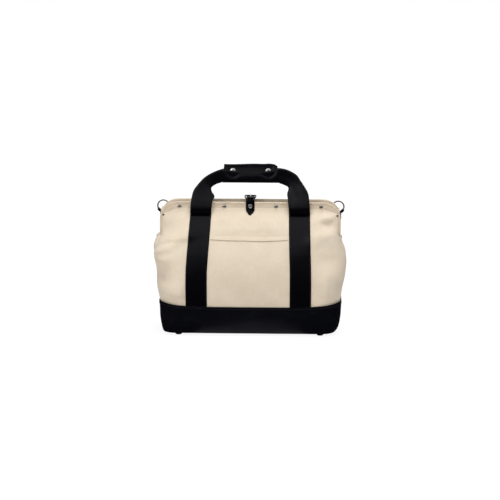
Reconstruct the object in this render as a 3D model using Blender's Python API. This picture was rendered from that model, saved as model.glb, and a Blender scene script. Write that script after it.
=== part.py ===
"""Canvas tool bag with a hinged steel mouth frame.

Metres, +Z up. X runs along the bag, the front looks to -Y, and the origin is on the
floor under the middle of the bag. The two halves of the mouth frame turn on pins at
the ends. Canvas and webbing are split at the fold line, where the real cloth bends.
"""
import bpy
import bmesh
from math import cos, pi, radians, sin, sqrt
from mathutils import Vector

# Fits
GAP = 0.0003            # between pieces that touch
PIN_CLEARANCE = 0.0003  # round a pin or shank
RUNNING_CLEARANCE = 0.0008  # between studs and their sockets
OVERRUN = 0.002         # how far a cutter passes through

# Body
BODY_HALF_LENGTH = 0.232
BODY_HALF_DEPTH = 0.0855
CANVAS = 0.0016
CANVAS_CORNER = 0.060
PIN_HEIGHT = 0.230      # hinge pins of the mouth frame
FOLD_DROP = 0.008
FOLD_HEIGHT = PIN_HEIGHT - FOLD_DROP  # top edge of the lower canvas

# Boot
BOOT_HEIGHT = 0.071
BOOT_END_RISE = 0.010
BOOT_WALL = 0.0024
BOOT_END_INSET = 0.011    # from the body's greatest length to the boot's top edge
BOOT_HALF_LENGTH = BODY_HALF_LENGTH - BOOT_END_INSET
BOOT_PROUD = 0.0025       # boot's top edge outside the body's greatest depth
BOOT_HALF_DEPTH = BODY_HALF_DEPTH + BOOT_PROUD
BOOT_END_TAPER = 0.021    # from top edge to base
BOOT_SIDE_TAPER = 0.004
BOOT_BASE_HALF_LENGTH = BOOT_HALF_LENGTH - BOOT_END_TAPER
BOOT_BASE_HALF_DEPTH = BOOT_HALF_DEPTH - BOOT_SIDE_TAPER
BOOT_BASE_CORNER = 0.035
BOOT_BASE_ROUND = 0.005
CANVAS_TUCK = 0.026     # canvas inside the boot
BOARD_THICKNESS = 0.003
BOARD_INSET = 0.006

# Feet
FOOT_RADIUS = 0.008
FOOT_HEIGHT = 0.006
FOOT_EDGE_ROUND = 0.0012
FOOT_SHANK_RADIUS = 0.002
FOOT_HEAD_RADIUS = 0.0045
FOOT_HEAD_HEIGHT = 0.0014
FOOT_END_INSET = 0.030    # from the base's end to the middle of a foot
FOOT_X = BOOT_BASE_HALF_LENGTH - FOOT_END_INSET
FOOT_SIDE_INSET = 0.022
FOOT_Y = BOOT_BASE_HALF_DEPTH - FOOT_SIDE_INSET

# Mouth frame
RIM_RISE = 0.086          # of the mouth over the hinge pins
RIM_HEIGHT = PIN_HEIGHT + RIM_RISE
RIM_HALF_DEPTH = 0.0193  # outer face of the canvas over the bar
RIM_BAND = 0.019         # flat band of canvas over the bar
RIM_END_INSET = 0.016     # from the body's greatest length
RIM_HALF_LENGTH = BODY_HALF_LENGTH - RIM_END_INSET
RIM_CORNER = 0.040
BAR_WIDTH = 0.014
BAR_THICKNESS = 0.0025
FACING_DEPTH = 0.024     # canvas turned in behind the bar
LAP_DROP = 0.028         # canvas that runs on below the pin inside the lower canvas
OPEN_ANGLE = radians(50)  # swing of each half of the frame
PIN_RADIUS = 0.0025
PIN_HEAD_RADIUS = 0.0045
PIN_HEAD_HEIGHT = 0.0016
LUG_RADIUS = 0.0075
LUG_THICKNESS = 0.0025
HINGE_TAB_HALF_WIDTH = 0.008  # end canvas that backs the hinge pin
HINGE_TAB_ROOM = 0.003        # canvas above the pin's head

# Pocket
POCKET_RISE = 0.018       # over the fold line
POCKET_TOP = FOLD_HEIGHT + POCKET_RISE
POCKET_STANDOFF = 0.0135  # how far the pocket bulges from the body
POCKET_MOUTH_INSET = 0.0165  # from the body's greatest depth
POCKET_MOUTH_HALF_DEPTH = BODY_HALF_DEPTH - POCKET_MOUTH_INSET
POCKET_FLOOR_SLIT = 0.0006
POCKET_LIP = 0.002
POCKET_SWELL_SHARE = 4    # how late the pocket swells on its way up

# Webbing
WEB_WIDTH = 0.051
WEB_THICKNESS = 0.0026
WEB_PLACE_SHARE = 0.5486  # middle of the webbing at its crease, as a share of the rim's half length
WEB_CREASE_X = RIM_HALF_LENGTH * WEB_PLACE_SHARE
WEB_LEAN = 0.008          # inwards, from boot to crease
WEB_BASE_X = WEB_CREASE_X + WEB_LEAN
CREASE_DROP = 0.029       # below the rim
WEB_CREASE_HEIGHT = RIM_HEIGHT - CREASE_DROP
WEB_UPPER_START = 0.016   # bare stretch above the fold line
CREASE_ROOM = 0.004       # bare stretch below the crease, for the handle to fold down

# Handles
GRIP_RISE = 0.045         # over the rim
GRIP_BOTTOM = RIM_HEIGHT + GRIP_RISE
GRIP_HEIGHT = 0.044
GRIP_TOP = GRIP_BOTTOM + GRIP_HEIGHT
GRIP_HALF_LENGTH = 0.0655
GRIP_HALF_DEPTH = 0.0136
GRIP_LEATHER = 0.0018
GRIP_LEAF = 0.0025
GRIP_ROLL_WIDTH = 0.0146
GRIP_ROLL_THICKNESS = 0.0066
GRIP_PARTING = 0.0004
SNAP_END_INSET = 0.023
SNAP_X = GRIP_HALF_LENGTH - SNAP_END_INSET
SNAP_DROP = 0.0165        # from the top edge of the grip
SNAP_CAP_RADIUS = 0.00775
SNAP_CAP_HEIGHT = 0.0032
SNAP_SHOULDER_SHARE = 0.8  # of the cap's height, at two thirds of its radius
SNAP_POST_RADIUS = 0.0034
SNAP_STUD_RADIUS = 0.0018
SNAP_STUD_REACH = 0.0016
SNAP_BACK_RADIUS = 0.006
SNAP_BACK_HEIGHT = 0.0012

# Rivets
RIVET_DROP = 0.0105       # below the rim
RIVET_HEIGHT = RIM_HEIGHT - RIVET_DROP
RIM_RIVET_SHARES = (0.787, 0.287)  # places along the rim's half length
RIM_RIVET_RADIUS = 0.004
RIVET_HEAD_HEIGHT = 0.0016
RIVET_SHANK_RADIUS = 0.0015
CORNER_RIVET_RADIUS = 0.0026
CORNER_RIVET_DROP = 0.032  # below the rim
CORNER_RIVET_HEIGHT = RIM_HEIGHT - CORNER_RIVET_DROP
CHAPE_RIVET_RADIUS = 0.00525

# Closure
STRAP_WIDTH = 0.021
STRAP_THICKNESS = 0.0021
STRAP_DROP = 0.031        # below the rim
STRAP_TIP_HEIGHT = RIM_HEIGHT - STRAP_DROP
STRAP_POINT_SHARE = 0.75   # length of the strap's point, in strap widths
STRAP_TIP_SHARE = 0.08     # width left at the tip
STRAP_POWER_SHARE = 0.8    # how full the point is
CHAPE_SHOULDER_SHARE = 0.8  # height of the loop's front shoulder, in loop radii
BUCKLE_WIRE_RADIUS = 0.0016
BUCKLE_WIDTH = 0.0287
BUCKLE_LENGTH = 0.026
BUCKLE_CORNER = 0.004
HEEL_DEPTH = 0.014        # heel bar in front of the middle of the mouth
HEEL_CLEARANCE = 0.0004
PRONG_WIDTH = 0.0036
PRONG_THICKNESS = 0.0015
PRONG_OVERHANG = 0.003
PRONG_EYE_ANGLE = radians(20)  # past the top of the eye, where the arm leaves it
PRONG_SLOT_CLEARANCE = 0.0008
PRONG_SWING_ROOM = 0.0012  # the slot runs on in front of the prong's eye

# Places of the strap's bends, in buckle lengths from the far bar, far bar and heel bar
BILLET_BEND_SHARES = (0.2, 0.45, 0.2)
BILLET_SLOT_SHARE = 0.1    # end of the prong's slot, in buckle lengths from the far bar

# Corner rings
RING_WIRE_RADIUS = 0.0016
RING_OUTER_RADIUS = 0.0154
RING_INSET = 0.004        # from the rim's end
RING_X = RIM_HALF_LENGTH - RING_INSET
RING_DROP = 0.016         # below the rim
RING_HEIGHT = RIM_HEIGHT - RING_DROP
RING_STANDOFF = 0.0039    # wire centre behind the rim canvas
RING_HOLD_ANGLE = radians(62)  # below the horizontal, at the outer side
CLIP_LENGTH = 0.004
CLIP_WALL = 0.0012
CLIP_PLATE = 0.0013
CLIP_RIVET_DROP = 0.041   # below the rim
CLIP_RIVET_HEIGHT = RIM_HEIGHT - CLIP_RIVET_DROP
CLIP_PLATE_HALF_WIDTH = 0.0045
CLIP_SLOPE_SHARE = 0.6     # height of the plate's inner side, as a share of its outer side

# Gusset folds
FOLD_REACH = 0.036        # how far the fold goes in from the frame's legs
FOLD_BOTTOM_RISE = 0.004
FOLD_TOP_DROP = 0.026     # below the rim
FOLD_TOP = RIM_HEIGHT - FOLD_TOP_DROP

# Smoothness
ROUND_STEPS = 24
CORNER_STEPS = 6

# Shape of the body: (share of height from boot to rim band, share of half depth)
DEPTH_SHARES = ((0.17, 1.0), (0.35, 0.94), (0.53, 0.805), (0.633, 0.685), (0.704, 0.595),
                (0.792, 0.46), (0.88, 0.288), (0.956, 0.10), (1.0, 0.0))
# (share of height from boot to rim band, share of the swell in length)
LENGTH_SHARES = ((0.17, 0.55), (0.35, 0.86), (0.53, 1.0), (0.70, 0.93), (1.0, 0.8))
END_POWER_SHARE = 3.5     # how squarely the upper canvas turns in to the frame's legs
RISE_POWER_SHARE = 4
STRAIGHT_SHARES = (0.62, 0.85)  # places along the straight front where the edge is measured

CANVAS_COLOUR = (0.80, 0.72, 0.60)
BLACK_CLOTH = (0.012, 0.012, 0.018)
BOOT_COLOUR = (0.010, 0.011, 0.018)
LEATHER_COLOUR = (0.009, 0.009, 0.012)
NICKEL = (0.72, 0.71, 0.69)
DARK_STEEL = (0.10, 0.095, 0.085)
STEEL = (0.45, 0.45, 0.46)
BOARD_COLOUR = (0.16, 0.11, 0.07)
RUBBER_COLOUR = (0.010, 0.010, 0.012)


def material(name, colour, roughness, metallic):
    made = bpy.data.materials.new(name)
    made.use_nodes = True
    shader = made.node_tree.nodes["Principled BSDF"]
    shader.inputs["Base Color"].default_value = (*colour, 1)
    shader.inputs["Roughness"].default_value = roughness
    shader.inputs["Metallic"].default_value = metallic
    made.diffuse_color = (*colour, 1)
    return made


def piece(name, mesh, finish, parent=None):
    """Link a mesh as a named piece, with its origin on its parent's joint axis."""
    mesh.materials.append(finish)
    mesh.set_sharp_from_angle(angle=radians(35))
    made = bpy.data.objects.new(name, mesh)
    bpy.context.scene.collection.objects.link(made)
    if parent:
        made.parent = parent
        made.matrix_parent_inverse = parent.matrix_world.inverted()
    return made


def joint(name, place, parent=None):
    """An empty on a joint's axis."""
    made = bpy.data.objects.new(name, None)
    bpy.context.scene.collection.objects.link(made)
    if parent:
        made.parent = parent
        made.location = Vector(place) - parent.matrix_world.translation
    else:
        made.location = place
    bpy.context.view_layer.update()
    return made


def loft_mesh(name, rings):
    """A closed body through rings of points, with a flat face at each end."""
    shape = bmesh.new()
    rows = [[shape.verts.new(point) for point in ring] for ring in rings]
    count = len(rows[0])
    for low, high in zip(rows, rows[1:]):
        for i in range(count):
            j = (i + 1) % count
            shape.faces.new((low[i], low[j], high[j], high[i]))
    shape.faces.new(rows[0][::-1])
    shape.faces.new(rows[-1])
    bmesh.ops.recalc_face_normals(shape, faces=shape.faces)
    mesh = bpy.data.meshes.new(name)
    shape.to_mesh(mesh)
    shape.free()
    mesh.shade_smooth()
    return mesh


def loft(name, rings, finish, parent=None):
    return piece(name, loft_mesh(name, rings), finish, parent)


def turned(name, profile, place, axis, finish, parent=None, steps=ROUND_STEPS):
    """Turn (radius, distance along the axis) pairs about an axis through a place."""
    along = Vector(axis).normalized()
    side = along.orthogonal().normalized()
    other = along.cross(side)
    rings = []
    for radius, distance in profile:
        centre = Vector(place) + along * distance
        turn = [2 * pi * i / steps for i in range(steps)]
        rings.append([centre + side * radius * cos(t) + other * radius * sin(t) for t in turn])
    return loft(name, rings, finish, parent)


def prism(name, outline, start, end, finish, parent=None):
    """Extrude a (y, z) outline along X from start to end."""
    rings = [[(x, y, z) for y, z in outline] for x in (start, end)]
    return loft(name, rings, finish, parent)


def box(name, low, high, finish):
    outline = ((low[1], low[2]), (high[1], low[2]), (high[1], high[2]), (low[1], high[2]))
    return prism(name, outline, low[0], high[0], finish)


def combine(target, tool, operation):
    """Cut a tool out of a piece, or fuse it to the piece."""
    modifier = target.modifiers.new(tool.name, "BOOLEAN")
    modifier.operation = operation
    modifier.object = tool
    tool.hide_render = True
    tool.display_type = "WIRE"


def share_at(table, share):
    """Read a table of (place, value) shares, straight between its points."""
    before = table[0]
    for point in table:
        if share <= point[0]:
            span = point[0] - before[0]
            part = (share - before[0]) / span if span else 0
            return before[1] + (point[1] - before[1]) * part
        before = point
    return before[1]


def height_share(z):
    return (z - BOOT_HEIGHT) / (RIM_HEIGHT - RIM_BAND - BOOT_HEIGHT)


def boot_share(z):
    return min(1, max(0, (z - FOOT_HEIGHT) / (BOOT_HEIGHT - FOOT_HEIGHT)))


def boot_size(z):
    """Half length, half depth and corner radius of the boot's outside."""
    share = boot_share(z)
    return (BOOT_BASE_HALF_LENGTH + (BOOT_HALF_LENGTH - BOOT_BASE_HALF_LENGTH) * share,
            BOOT_BASE_HALF_DEPTH + (BOOT_HALF_DEPTH - BOOT_BASE_HALF_DEPTH) * share,
            BOOT_BASE_CORNER + (CANVAS_CORNER - BOOT_BASE_CORNER) * share)


def canvas_size(z):
    """Half length, half depth and corner radius of the canvas's outside."""
    tuck = BOOT_WALL + GAP
    length, depth, corner = (size - tuck for size in boot_size(z))
    share = height_share(z)
    if share > 0:
        depth_table = ((0, (depth - RIM_HALF_DEPTH) / (BODY_HALF_DEPTH - RIM_HALF_DEPTH)),) + DEPTH_SHARES
        length_table = ((0, 0),) + LENGTH_SHARES
        depth = RIM_HALF_DEPTH + (BODY_HALF_DEPTH - RIM_HALF_DEPTH) * share_at(depth_table, share)
        length += (BODY_HALF_LENGTH - length) * share_at(length_table, share)
    return length, depth, min(corner, depth)


def rise_at(x, z, length):
    """The boot's top edge climbs towards the ends, and the canvas near it follows."""
    if z <= BOOT_HEIGHT:
        fade = boot_share(z) ** 2
    else:
        fade = max(0, (FOLD_HEIGHT - z) / (FOLD_HEIGHT - BOOT_HEIGHT))
    return BOOT_END_RISE * fade * (abs(x) / length) ** RISE_POWER_SHARE


def plan_point(size, z, side, turn, inset):
    """A point on a rounded rectangle: side is -1, 0 or 1 along X for corner or straight."""
    length, depth, corner = size
    radius = corner - inset
    x = side * (length - corner) + radius * sin(turn)
    y = -(depth - corner) - radius * cos(turn)
    return (x, y, z + rise_at(x, z, length))


def around(size, z, inset, stations):
    """Points of the front half of a plan section, at (side, turn) stations."""
    return [plan_point(size, z, side, turn, inset) for side, turn in stations]


def mirrored(points, right=1, front=1):
    """Points made for the right front, set to another quarter of the bag."""
    return [(x * right, y * front, z) for x, y, z in points]


def corner_stations(side, start, end, steps):
    return [(side, side * (start + (end - start) * i / steps)) for i in range(steps + 1)]


def front_stations(turn, steps):
    """From a turn of the left front corner to the same turn of the right front corner."""
    left = corner_stations(-1, turn, 0, steps)
    right = corner_stations(1, 0, turn, steps)
    straight = [(side, 0) for side in STRAIGHT_SHARES]
    return left + [(-side, turn) for side, turn in straight[::-1]] + [(0, 0)] + straight + right


def end_stations(trim):
    """From the middle of the right front corner to the end's middle."""
    return corner_stations(1, pi / 4 + trim, pi / 2, CORNER_STEPS // 2)


def levels(low, high, count):
    return [low + (high - low) * i / (count - 1) for i in range(count)]


def profile_levels(low, high):
    """Heights between low and high at which the body's outline bends."""
    span = RIM_HEIGHT - RIM_BAND - BOOT_HEIGHT
    bends = [BOOT_HEIGHT + span * share for share, _ in DEPTH_SHARES]
    return [low] + [z for z in bends if low + GAP < z < high - GAP] + [high]


def build_boot(finish):
    stations = front_stations(pi / 2, CORNER_STEPS)

    def ring(z, inset):
        front = around(boot_size(z), z, inset, stations)
        return front + mirrored(front[::-1], 1, -1)

    heights = levels(FOOT_HEIGHT + BOOT_BASE_ROUND, BOOT_HEIGHT, 5)
    rings = [ring(FOOT_HEIGHT, BOOT_BASE_ROUND)]
    rings += [ring(z, 0) for z in heights]
    rings += [ring(z, BOOT_WALL) for z in heights[::-1]]
    rings.append(ring(FOOT_HEIGHT + BOOT_WALL, BOOT_BASE_ROUND))
    return loft("boot", rings, finish)


def build_board(finish):
    low = FOOT_HEIGHT + BOOT_WALL + GAP
    stations = front_stations(pi / 2, CORNER_STEPS)
    rings = []
    for z in (low, low + BOARD_THICKNESS):
        front = [(x, y, z) for x, y, _ in around(boot_size(low), 0, BOARD_INSET, stations)]
        rings.append(front + mirrored(front[::-1], 1, -1))
    return loft("bottom_board", rings, finish)


def build_foot(name, x, y, finish, holders):
    head_seat = FOOT_HEIGHT + BOOT_WALL + GAP + BOARD_THICKNESS + GAP
    profile = ((FOOT_RADIUS - FOOT_EDGE_ROUND, 0), (FOOT_RADIUS, FOOT_EDGE_ROUND),
               (FOOT_RADIUS, FOOT_HEIGHT - GAP), (FOOT_SHANK_RADIUS, FOOT_HEIGHT - GAP),
               (FOOT_SHANK_RADIUS, head_seat), (FOOT_HEAD_RADIUS, head_seat),
               (FOOT_HEAD_RADIUS, head_seat + FOOT_HEAD_HEIGHT))
    turned(name, profile, (x, y, 0), (0, 0, 1), finish)
    bore = FOOT_SHANK_RADIUS + PIN_CLEARANCE
    hole = turned(name + "_hole", ((bore, FOOT_HEIGHT - OVERRUN), (bore, head_seat + OVERRUN)),
                  (x, y, 0), (0, 0, 1), finish)
    for holder in holders:
        combine(holder, hole, "DIFFERENCE")


def lower_wall(name, stations, finish, right=1, front=1, whole_end=False):
    """Lower canvas along plan stations, from inside the boot to the fold line."""
    inside = levels(BOOT_HEIGHT - CANVAS_TUCK, BOOT_HEIGHT, 3)
    above = profile_levels(BOOT_HEIGHT, FOLD_HEIGHT)[1:]
    heights = inside + above
    rings = []
    for station in stations:
        outer = [plan_point(canvas_size(z), z, *station, 0) for z in heights]
        inner = [plan_point(canvas_size(z), z, *station, CANVAS) for z in heights]
        rings.append(outer + inner[::-1])
    if whole_end:
        rings += [mirrored(ring, 1, -1) for ring in rings[-2::-1]]
    return loft(name, [mirrored(ring, right, front) for ring in rings], finish)


def hinge_wall():
    """Inner face of the end canvas at the hinge pin, as a distance from the middle."""
    return canvas_size(PIN_HEIGHT)[0] - CANVAS


def build_lower_canvas(finish):
    trim = GAP / CANVAS_CORNER
    for face, front in (("front", 1), ("back", -1)):
        lower_wall(face + "_panel_lower", front_stations(pi / 4 - trim, CORNER_STEPS // 2), finish, 1, front)
    for side, right in (("left", -1), ("right", 1)):
        gusset = lower_wall(side + "_gusset_lower", end_stations(trim), finish, right, 1, True)
        width = HINGE_TAB_HALF_WIDTH
        low = FOLD_HEIGHT - width
        high = PIN_HEIGHT + PIN_HEAD_RADIUS + HINGE_TAB_ROOM
        outline = ((-width, low), (width, low), (width, high), (-width, high))
        wall = hinge_wall() * right
        tab = prism(side + "_hinge_tab", outline, wall, wall + CANVAS * right, finish)
        combine(gusset, tab, "UNION")


def upper_depth(x, z):
    """Half depth of the upper canvas's outside: it turns in to the frame's legs."""
    inner_leg = RIM_HALF_LENGTH - BAR_WIDTH
    if abs(x) >= inner_leg:
        return RIM_HALF_DEPTH
    share = (1 - (abs(x) / inner_leg) ** END_POWER_SHARE) ** (1 / END_POWER_SHARE)
    depth = canvas_size(max(z, PIN_HEIGHT))[1]
    if z < PIN_HEIGHT:
        lap = depth - CANVAS
        depth = sqrt(max(0, lap ** 2 - (z - PIN_HEIGHT) ** 2))
    return RIM_HALF_DEPTH + max(0, depth - RIM_HALF_DEPTH) * share


def rim_top(x):
    """Height of the frame's outer edge, round its corners."""
    past = abs(x) - (RIM_HALF_LENGTH - RIM_CORNER)
    if past <= 0:
        return RIM_HEIGHT
    return RIM_HEIGHT - RIM_CORNER + sqrt(max(0, RIM_CORNER ** 2 - past ** 2))


def lap_drop(x):
    """How far the canvas runs on below the pin and still clears the other half when open."""
    inner = upper_depth(x, PIN_HEIGHT - LAP_DROP) - CANVAS
    return min(LAP_DROP, (inner * cos(OPEN_ANGLE) - CANVAS) / sin(OPEN_ANGLE))


def build_upper_panel(name, front, finish, parent):
    """Canvas from the fold line up over the bar, with a facing turned down behind it."""
    reach = RIM_HALF_LENGTH - GAP
    corner = RIM_HALF_LENGTH - RIM_CORNER
    inner_leg = RIM_HALF_LENGTH - BAR_WIDTH
    places = levels(0, corner, 6) + levels(corner, inner_leg, 5)[1:] + levels(inner_leg, reach, 4)[1:]
    places = [-x for x in places[:0:-1]] + places
    rings = []
    for x in places:
        top = rim_top(x) - CANVAS / 3
        lap = levels(PIN_HEIGHT - lap_drop(x), PIN_HEIGHT - GAP, 4)
        if abs(x) > inner_leg:
            lap = levels(PIN_HEIGHT + LUG_RADIUS, PIN_HEIGHT + LUG_RADIUS + RIM_BAND, 4)
        above = profile_levels(PIN_HEIGHT, RIM_HEIGHT - RIM_BAND)[1:]
        if abs(x) > inner_leg:
            above = levels(lap[-1], max(above[-1], lap[-1] + RIM_BAND), len(above) + 1)[1:]
        heights = lap + above
        count = len(heights)
        heights = [min(z, top - CANVAS * (count - i) / count) for i, z in enumerate(heights)] + [top]
        outer = [(x, -upper_depth(x, z), z) for z in heights]
        inner = [(x, y + CANVAS, z) for _, y, z in outer]
        rings.append(mirrored(outer + inner[::-1], 1, front))
    panel = loft(name, rings, finish, parent)
    back = bar_faces()[1] - GAP
    crown = RIM_HEIGHT - CANVAS
    low = RIM_HEIGHT - FACING_DEPTH
    lip = RIM_HALF_DEPTH - CANVAS / 2
    outline = [(-lip, crown), (-lip, RIM_HEIGHT - CANVAS / 4), (-lip + CANVAS / 2, RIM_HEIGHT),
               (-back, RIM_HEIGHT), (-back + CANVAS, RIM_HEIGHT - CANVAS / 2), (-back + CANVAS, low),
               (-back, low), (-back, crown)]
    outline = [(y * front, z) for y, z in outline]
    facing = prism(name + "_facing", outline, -corner, corner, finish, parent)
    combine(panel, facing, "UNION")
    return panel


def frame_path():
    """Middle line of the bar: (x, z, direction across the bar)."""
    half = BAR_WIDTH / 2
    leg = RIM_HALF_LENGTH - half
    centre_x = RIM_HALF_LENGTH - RIM_CORNER
    centre_z = RIM_HEIGHT - CANVAS - GAP - RIM_CORNER
    radius = RIM_CORNER - half
    path = [(leg, PIN_HEIGHT - LUG_RADIUS, 1, 0)]
    for i in range(CORNER_STEPS + 1):
        turn = pi / 2 * i / CORNER_STEPS
        path.append((centre_x + radius * cos(turn), centre_z + radius * sin(turn), cos(turn), sin(turn)))
    return path + [(-x, z, -across, up) for x, z, across, up in path[::-1]]


def bar_faces():
    """Front and back face of the bar, as distances in front of the mouth's middle."""
    front = RIM_HALF_DEPTH - CANVAS - GAP
    return front, front - BAR_THICKNESS


def lug_slab(front):
    """Start of a lug's thickness along X. The back lugs lie inside the front ones."""
    outer = RIM_HALF_LENGTH - GAP - LUG_THICKNESS
    if front > 0:
        return outer
    return outer - LUG_THICKNESS - GAP - GAP


def build_frame_bar(name, front, finish, parent):
    face, back = bar_faces()
    half = BAR_WIDTH / 2
    rings = []
    for x, z, across, up in frame_path():
        out = (x + across * half, z + up * half)
        inner = (x - across * half, z - up * half)
        ring = [(out[0], -face, out[1]), (inner[0], -face, inner[1]),
                (inner[0], -back, inner[1]), (out[0], -back, out[1])]
        rings.append(mirrored(ring, 1, front))
    bar = loft(name, rings, finish, parent)
    turns = [pi / 2 - pi * i / CORNER_STEPS for i in range(CORNER_STEPS + 1)]
    outline = [(LUG_RADIUS * cos(t), PIN_HEIGHT + LUG_RADIUS * sin(t)) for t in turns]
    middle = (face + back) / 2
    outline += [(-middle, PIN_HEIGHT - LUG_RADIUS), (-middle, PIN_HEIGHT + LUG_RADIUS)]
    outline = [(y * front, z) for y, z in outline]
    for side in (-1, 1):
        start = lug_slab(front) * side
        lug = prism(f"{name}_lug_{side}", outline, start, start + LUG_THICKNESS * side, finish, parent)
        combine(bar, lug, "UNION")
    bore = PIN_RADIUS + PIN_CLEARANCE
    hole = turned(name + "_pin_hole", ((bore, -RIM_HALF_LENGTH - OVERRUN), (bore, RIM_HALF_LENGTH + OVERRUN)),
                  (0, 0, PIN_HEIGHT), (1, 0, 0), finish, parent)
    combine(bar, hole, "DIFFERENCE")
    return bar


def build_pin(name, side, finish):
    """A pin through both lugs, with a long outer head that stands against the end canvas."""
    inner = lug_slab(-1) - GAP
    outer = lug_slab(1) + LUG_THICKNESS + GAP
    profile = ((PIN_HEAD_RADIUS, inner - PIN_HEAD_HEIGHT), (PIN_HEAD_RADIUS, inner),
               (PIN_RADIUS, inner), (PIN_RADIUS, outer), (PIN_HEAD_RADIUS, outer),
               (PIN_HEAD_RADIUS, hinge_wall() - GAP))
    turned(name, profile, (0, 0, PIN_HEIGHT), (side, 0, 0), finish)


def web_middle(z):
    """Middle of the sewn webbing, which leans in towards the top."""
    share = (z - BOOT_HEIGHT) / (WEB_CREASE_HEIGHT - BOOT_HEIGHT)
    return WEB_BASE_X + (WEB_CREASE_X - WEB_BASE_X) * share


def build_web(name, right, front, low, high, surface, finish, parent=None):
    """A patch of webbing that lies on the canvas, from low to high."""
    rings = []
    for z in profile_levels(low, high):
        middle = web_middle(z)
        back = []
        for x in levels(middle - WEB_WIDTH / 2, middle + WEB_WIDTH / 2, 5):
            depth, height = surface(x, z)
            back.append((x, -depth - GAP, height))
        face = [(x, y - WEB_THICKNESS, z) for x, y, z in back]
        rings.append(mirrored(face + back[::-1], right, front))
    return loft(name, rings, finish, parent)


def lower_surface(x, z):
    """Half depth and height of the lower canvas's outside, which rises towards the ends."""
    length, depth, _ = canvas_size(z)
    return depth, z + rise_at(x, z, length)


def upper_surface(x, z):
    return upper_depth(x, z), z


def boot_edge(x):
    """Lowest height for a piece that stands on the boot's top edge."""
    return BOOT_HEIGHT + rise_at(x, BOOT_HEIGHT, BOOT_HALF_LENGTH) + GAP


def build_pocket(finish):
    """A canvas tray sewn to the front panel, open at the top."""
    def half_width(z):
        return web_middle(z) - WEB_WIDTH / 2 - GAP

    bottom = boot_edge(half_width(BOOT_HEIGHT))
    rings = []
    for z in profile_levels(bottom, FOLD_HEIGHT) + [FOLD_HEIGHT + POCKET_LIP, POCKET_TOP]:
        width = half_width(z)
        share = (z - bottom) / (POCKET_TOP - bottom)
        wall = canvas_size(min(z, FOLD_HEIGHT))[1] + GAP
        bulge = sin(pi / 2 * share) ** POCKET_SWELL_SHARE
        inside = wall + POCKET_FLOOR_SLIT + (POCKET_STANDOFF - POCKET_FLOOR_SLIT) * bulge
        if z > FOLD_HEIGHT:
            mouth = POCKET_MOUTH_HALF_DEPTH - CANVAS
            lean = (z - FOLD_HEIGHT) / (POCKET_TOP - FOLD_HEIGHT)
            inside += (mouth - inside) * lean
            wall = inside - POCKET_LIP
        face = inside + CANVAS
        ring = [(-width, -wall, z), (-width, -face, z), (width, -face, z), (width, -wall, z),
                (width - CANVAS, -wall, z), (width - CANVAS, -inside, z),
                (-width + CANVAS, -inside, z), (-width + CANVAS, -wall, z)]
        rings.append(ring)
    return loft("front_pocket", rings, finish)


def across_mouth(points, half_width_at, thickness, front=1):
    """Rings of a strap that runs in the Y-Z plane through (y, z) points."""
    rings = []
    last = len(points) - 1
    for i, (y, z) in enumerate(points):
        before = points[max(0, i - 1)]
        after = points[min(last, i + 1)]
        run = Vector((after[0] - before[0], after[1] - before[1])).normalized()
        off = Vector((-run.y, run.x)) * (thickness / 2)
        half = half_width_at(z)
        ring = [(half, y + off.x, z + off.y), (-half, y + off.x, z + off.y),
                (-half, y - off.x, z - off.y), (half, y - off.x, z - off.y)]
        rings.append(mirrored(ring, 1, front))
    return rings


def crease_pivot(front):
    """Where the handle's webbing bends away from the body."""
    crease = WEB_THICKNESS / 2
    depth = upper_depth(WEB_CREASE_X - WEB_WIDTH / 2, WEB_CREASE_HEIGHT - crease)
    return -(depth + GAP + crease) * front


def handle_path():
    """Right half of a handle: (x, y, z, width, thickness), from the crease to the middle."""
    crease_y = crease_pivot(1)
    roll_y = -(GRIP_HALF_DEPTH - GRIP_LEATHER - GAP - GRIP_ROLL_THICKNESS / 2)
    roll_z = GRIP_BOTTOM + GRIP_LEATHER + GAP + GRIP_ROLL_WIDTH / 2
    rise = roll_z - WEB_CREASE_HEIGHT
    run = WEB_CREASE_X - GRIP_HALF_LENGTH
    lean = roll_y - crease_y
    # shares: outwards, lean to the middle, height, width, thickness
    shares = ((0.00, 0.02, 0.04, 1.00, 0.0), (-0.04, 0.16, 0.20, 1.00, 0.0), (-0.03, 0.42, 0.48, 0.92, 0.1),
              (0.08, 0.66, 0.72, 0.68, 0.4), (0.24, 0.84, 0.89, 0.50, 0.7), (0.52, 0.96, 1.02, 0.44, 1.0),
              (0.88, 1.00, 1.01, 0.34, 1.0))
    path = []
    for out, towards, up, width, thick in shares:
        path.append((WEB_CREASE_X - run * out, crease_y + lean * towards, WEB_CREASE_HEIGHT + rise * up,
                     WEB_WIDTH * width,
                     WEB_THICKNESS + (GRIP_ROLL_THICKNESS - WEB_THICKNESS) * thick))
    path.append((GRIP_HALF_LENGTH, roll_y, roll_z, GRIP_ROLL_WIDTH, GRIP_ROLL_THICKNESS))
    path.append((0, roll_y, roll_z, GRIP_ROLL_WIDTH, GRIP_ROLL_THICKNESS))
    return path


def handle_ring(point, run, front):
    """A flat cross-section square to the run of the webbing."""
    x, y, z, width, thickness = point
    along = Vector((run.x, 0, run.z)).normalized()
    across = Vector((along.z, 0, -along.x)) * (width / 2)
    centre = Vector((x, y, z))
    thick = Vector((0, thickness / 2, 0))
    ring = [centre + across + thick, centre - across + thick,
            centre - across - thick, centre + across - thick]
    return mirrored(ring, 1, front)


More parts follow.
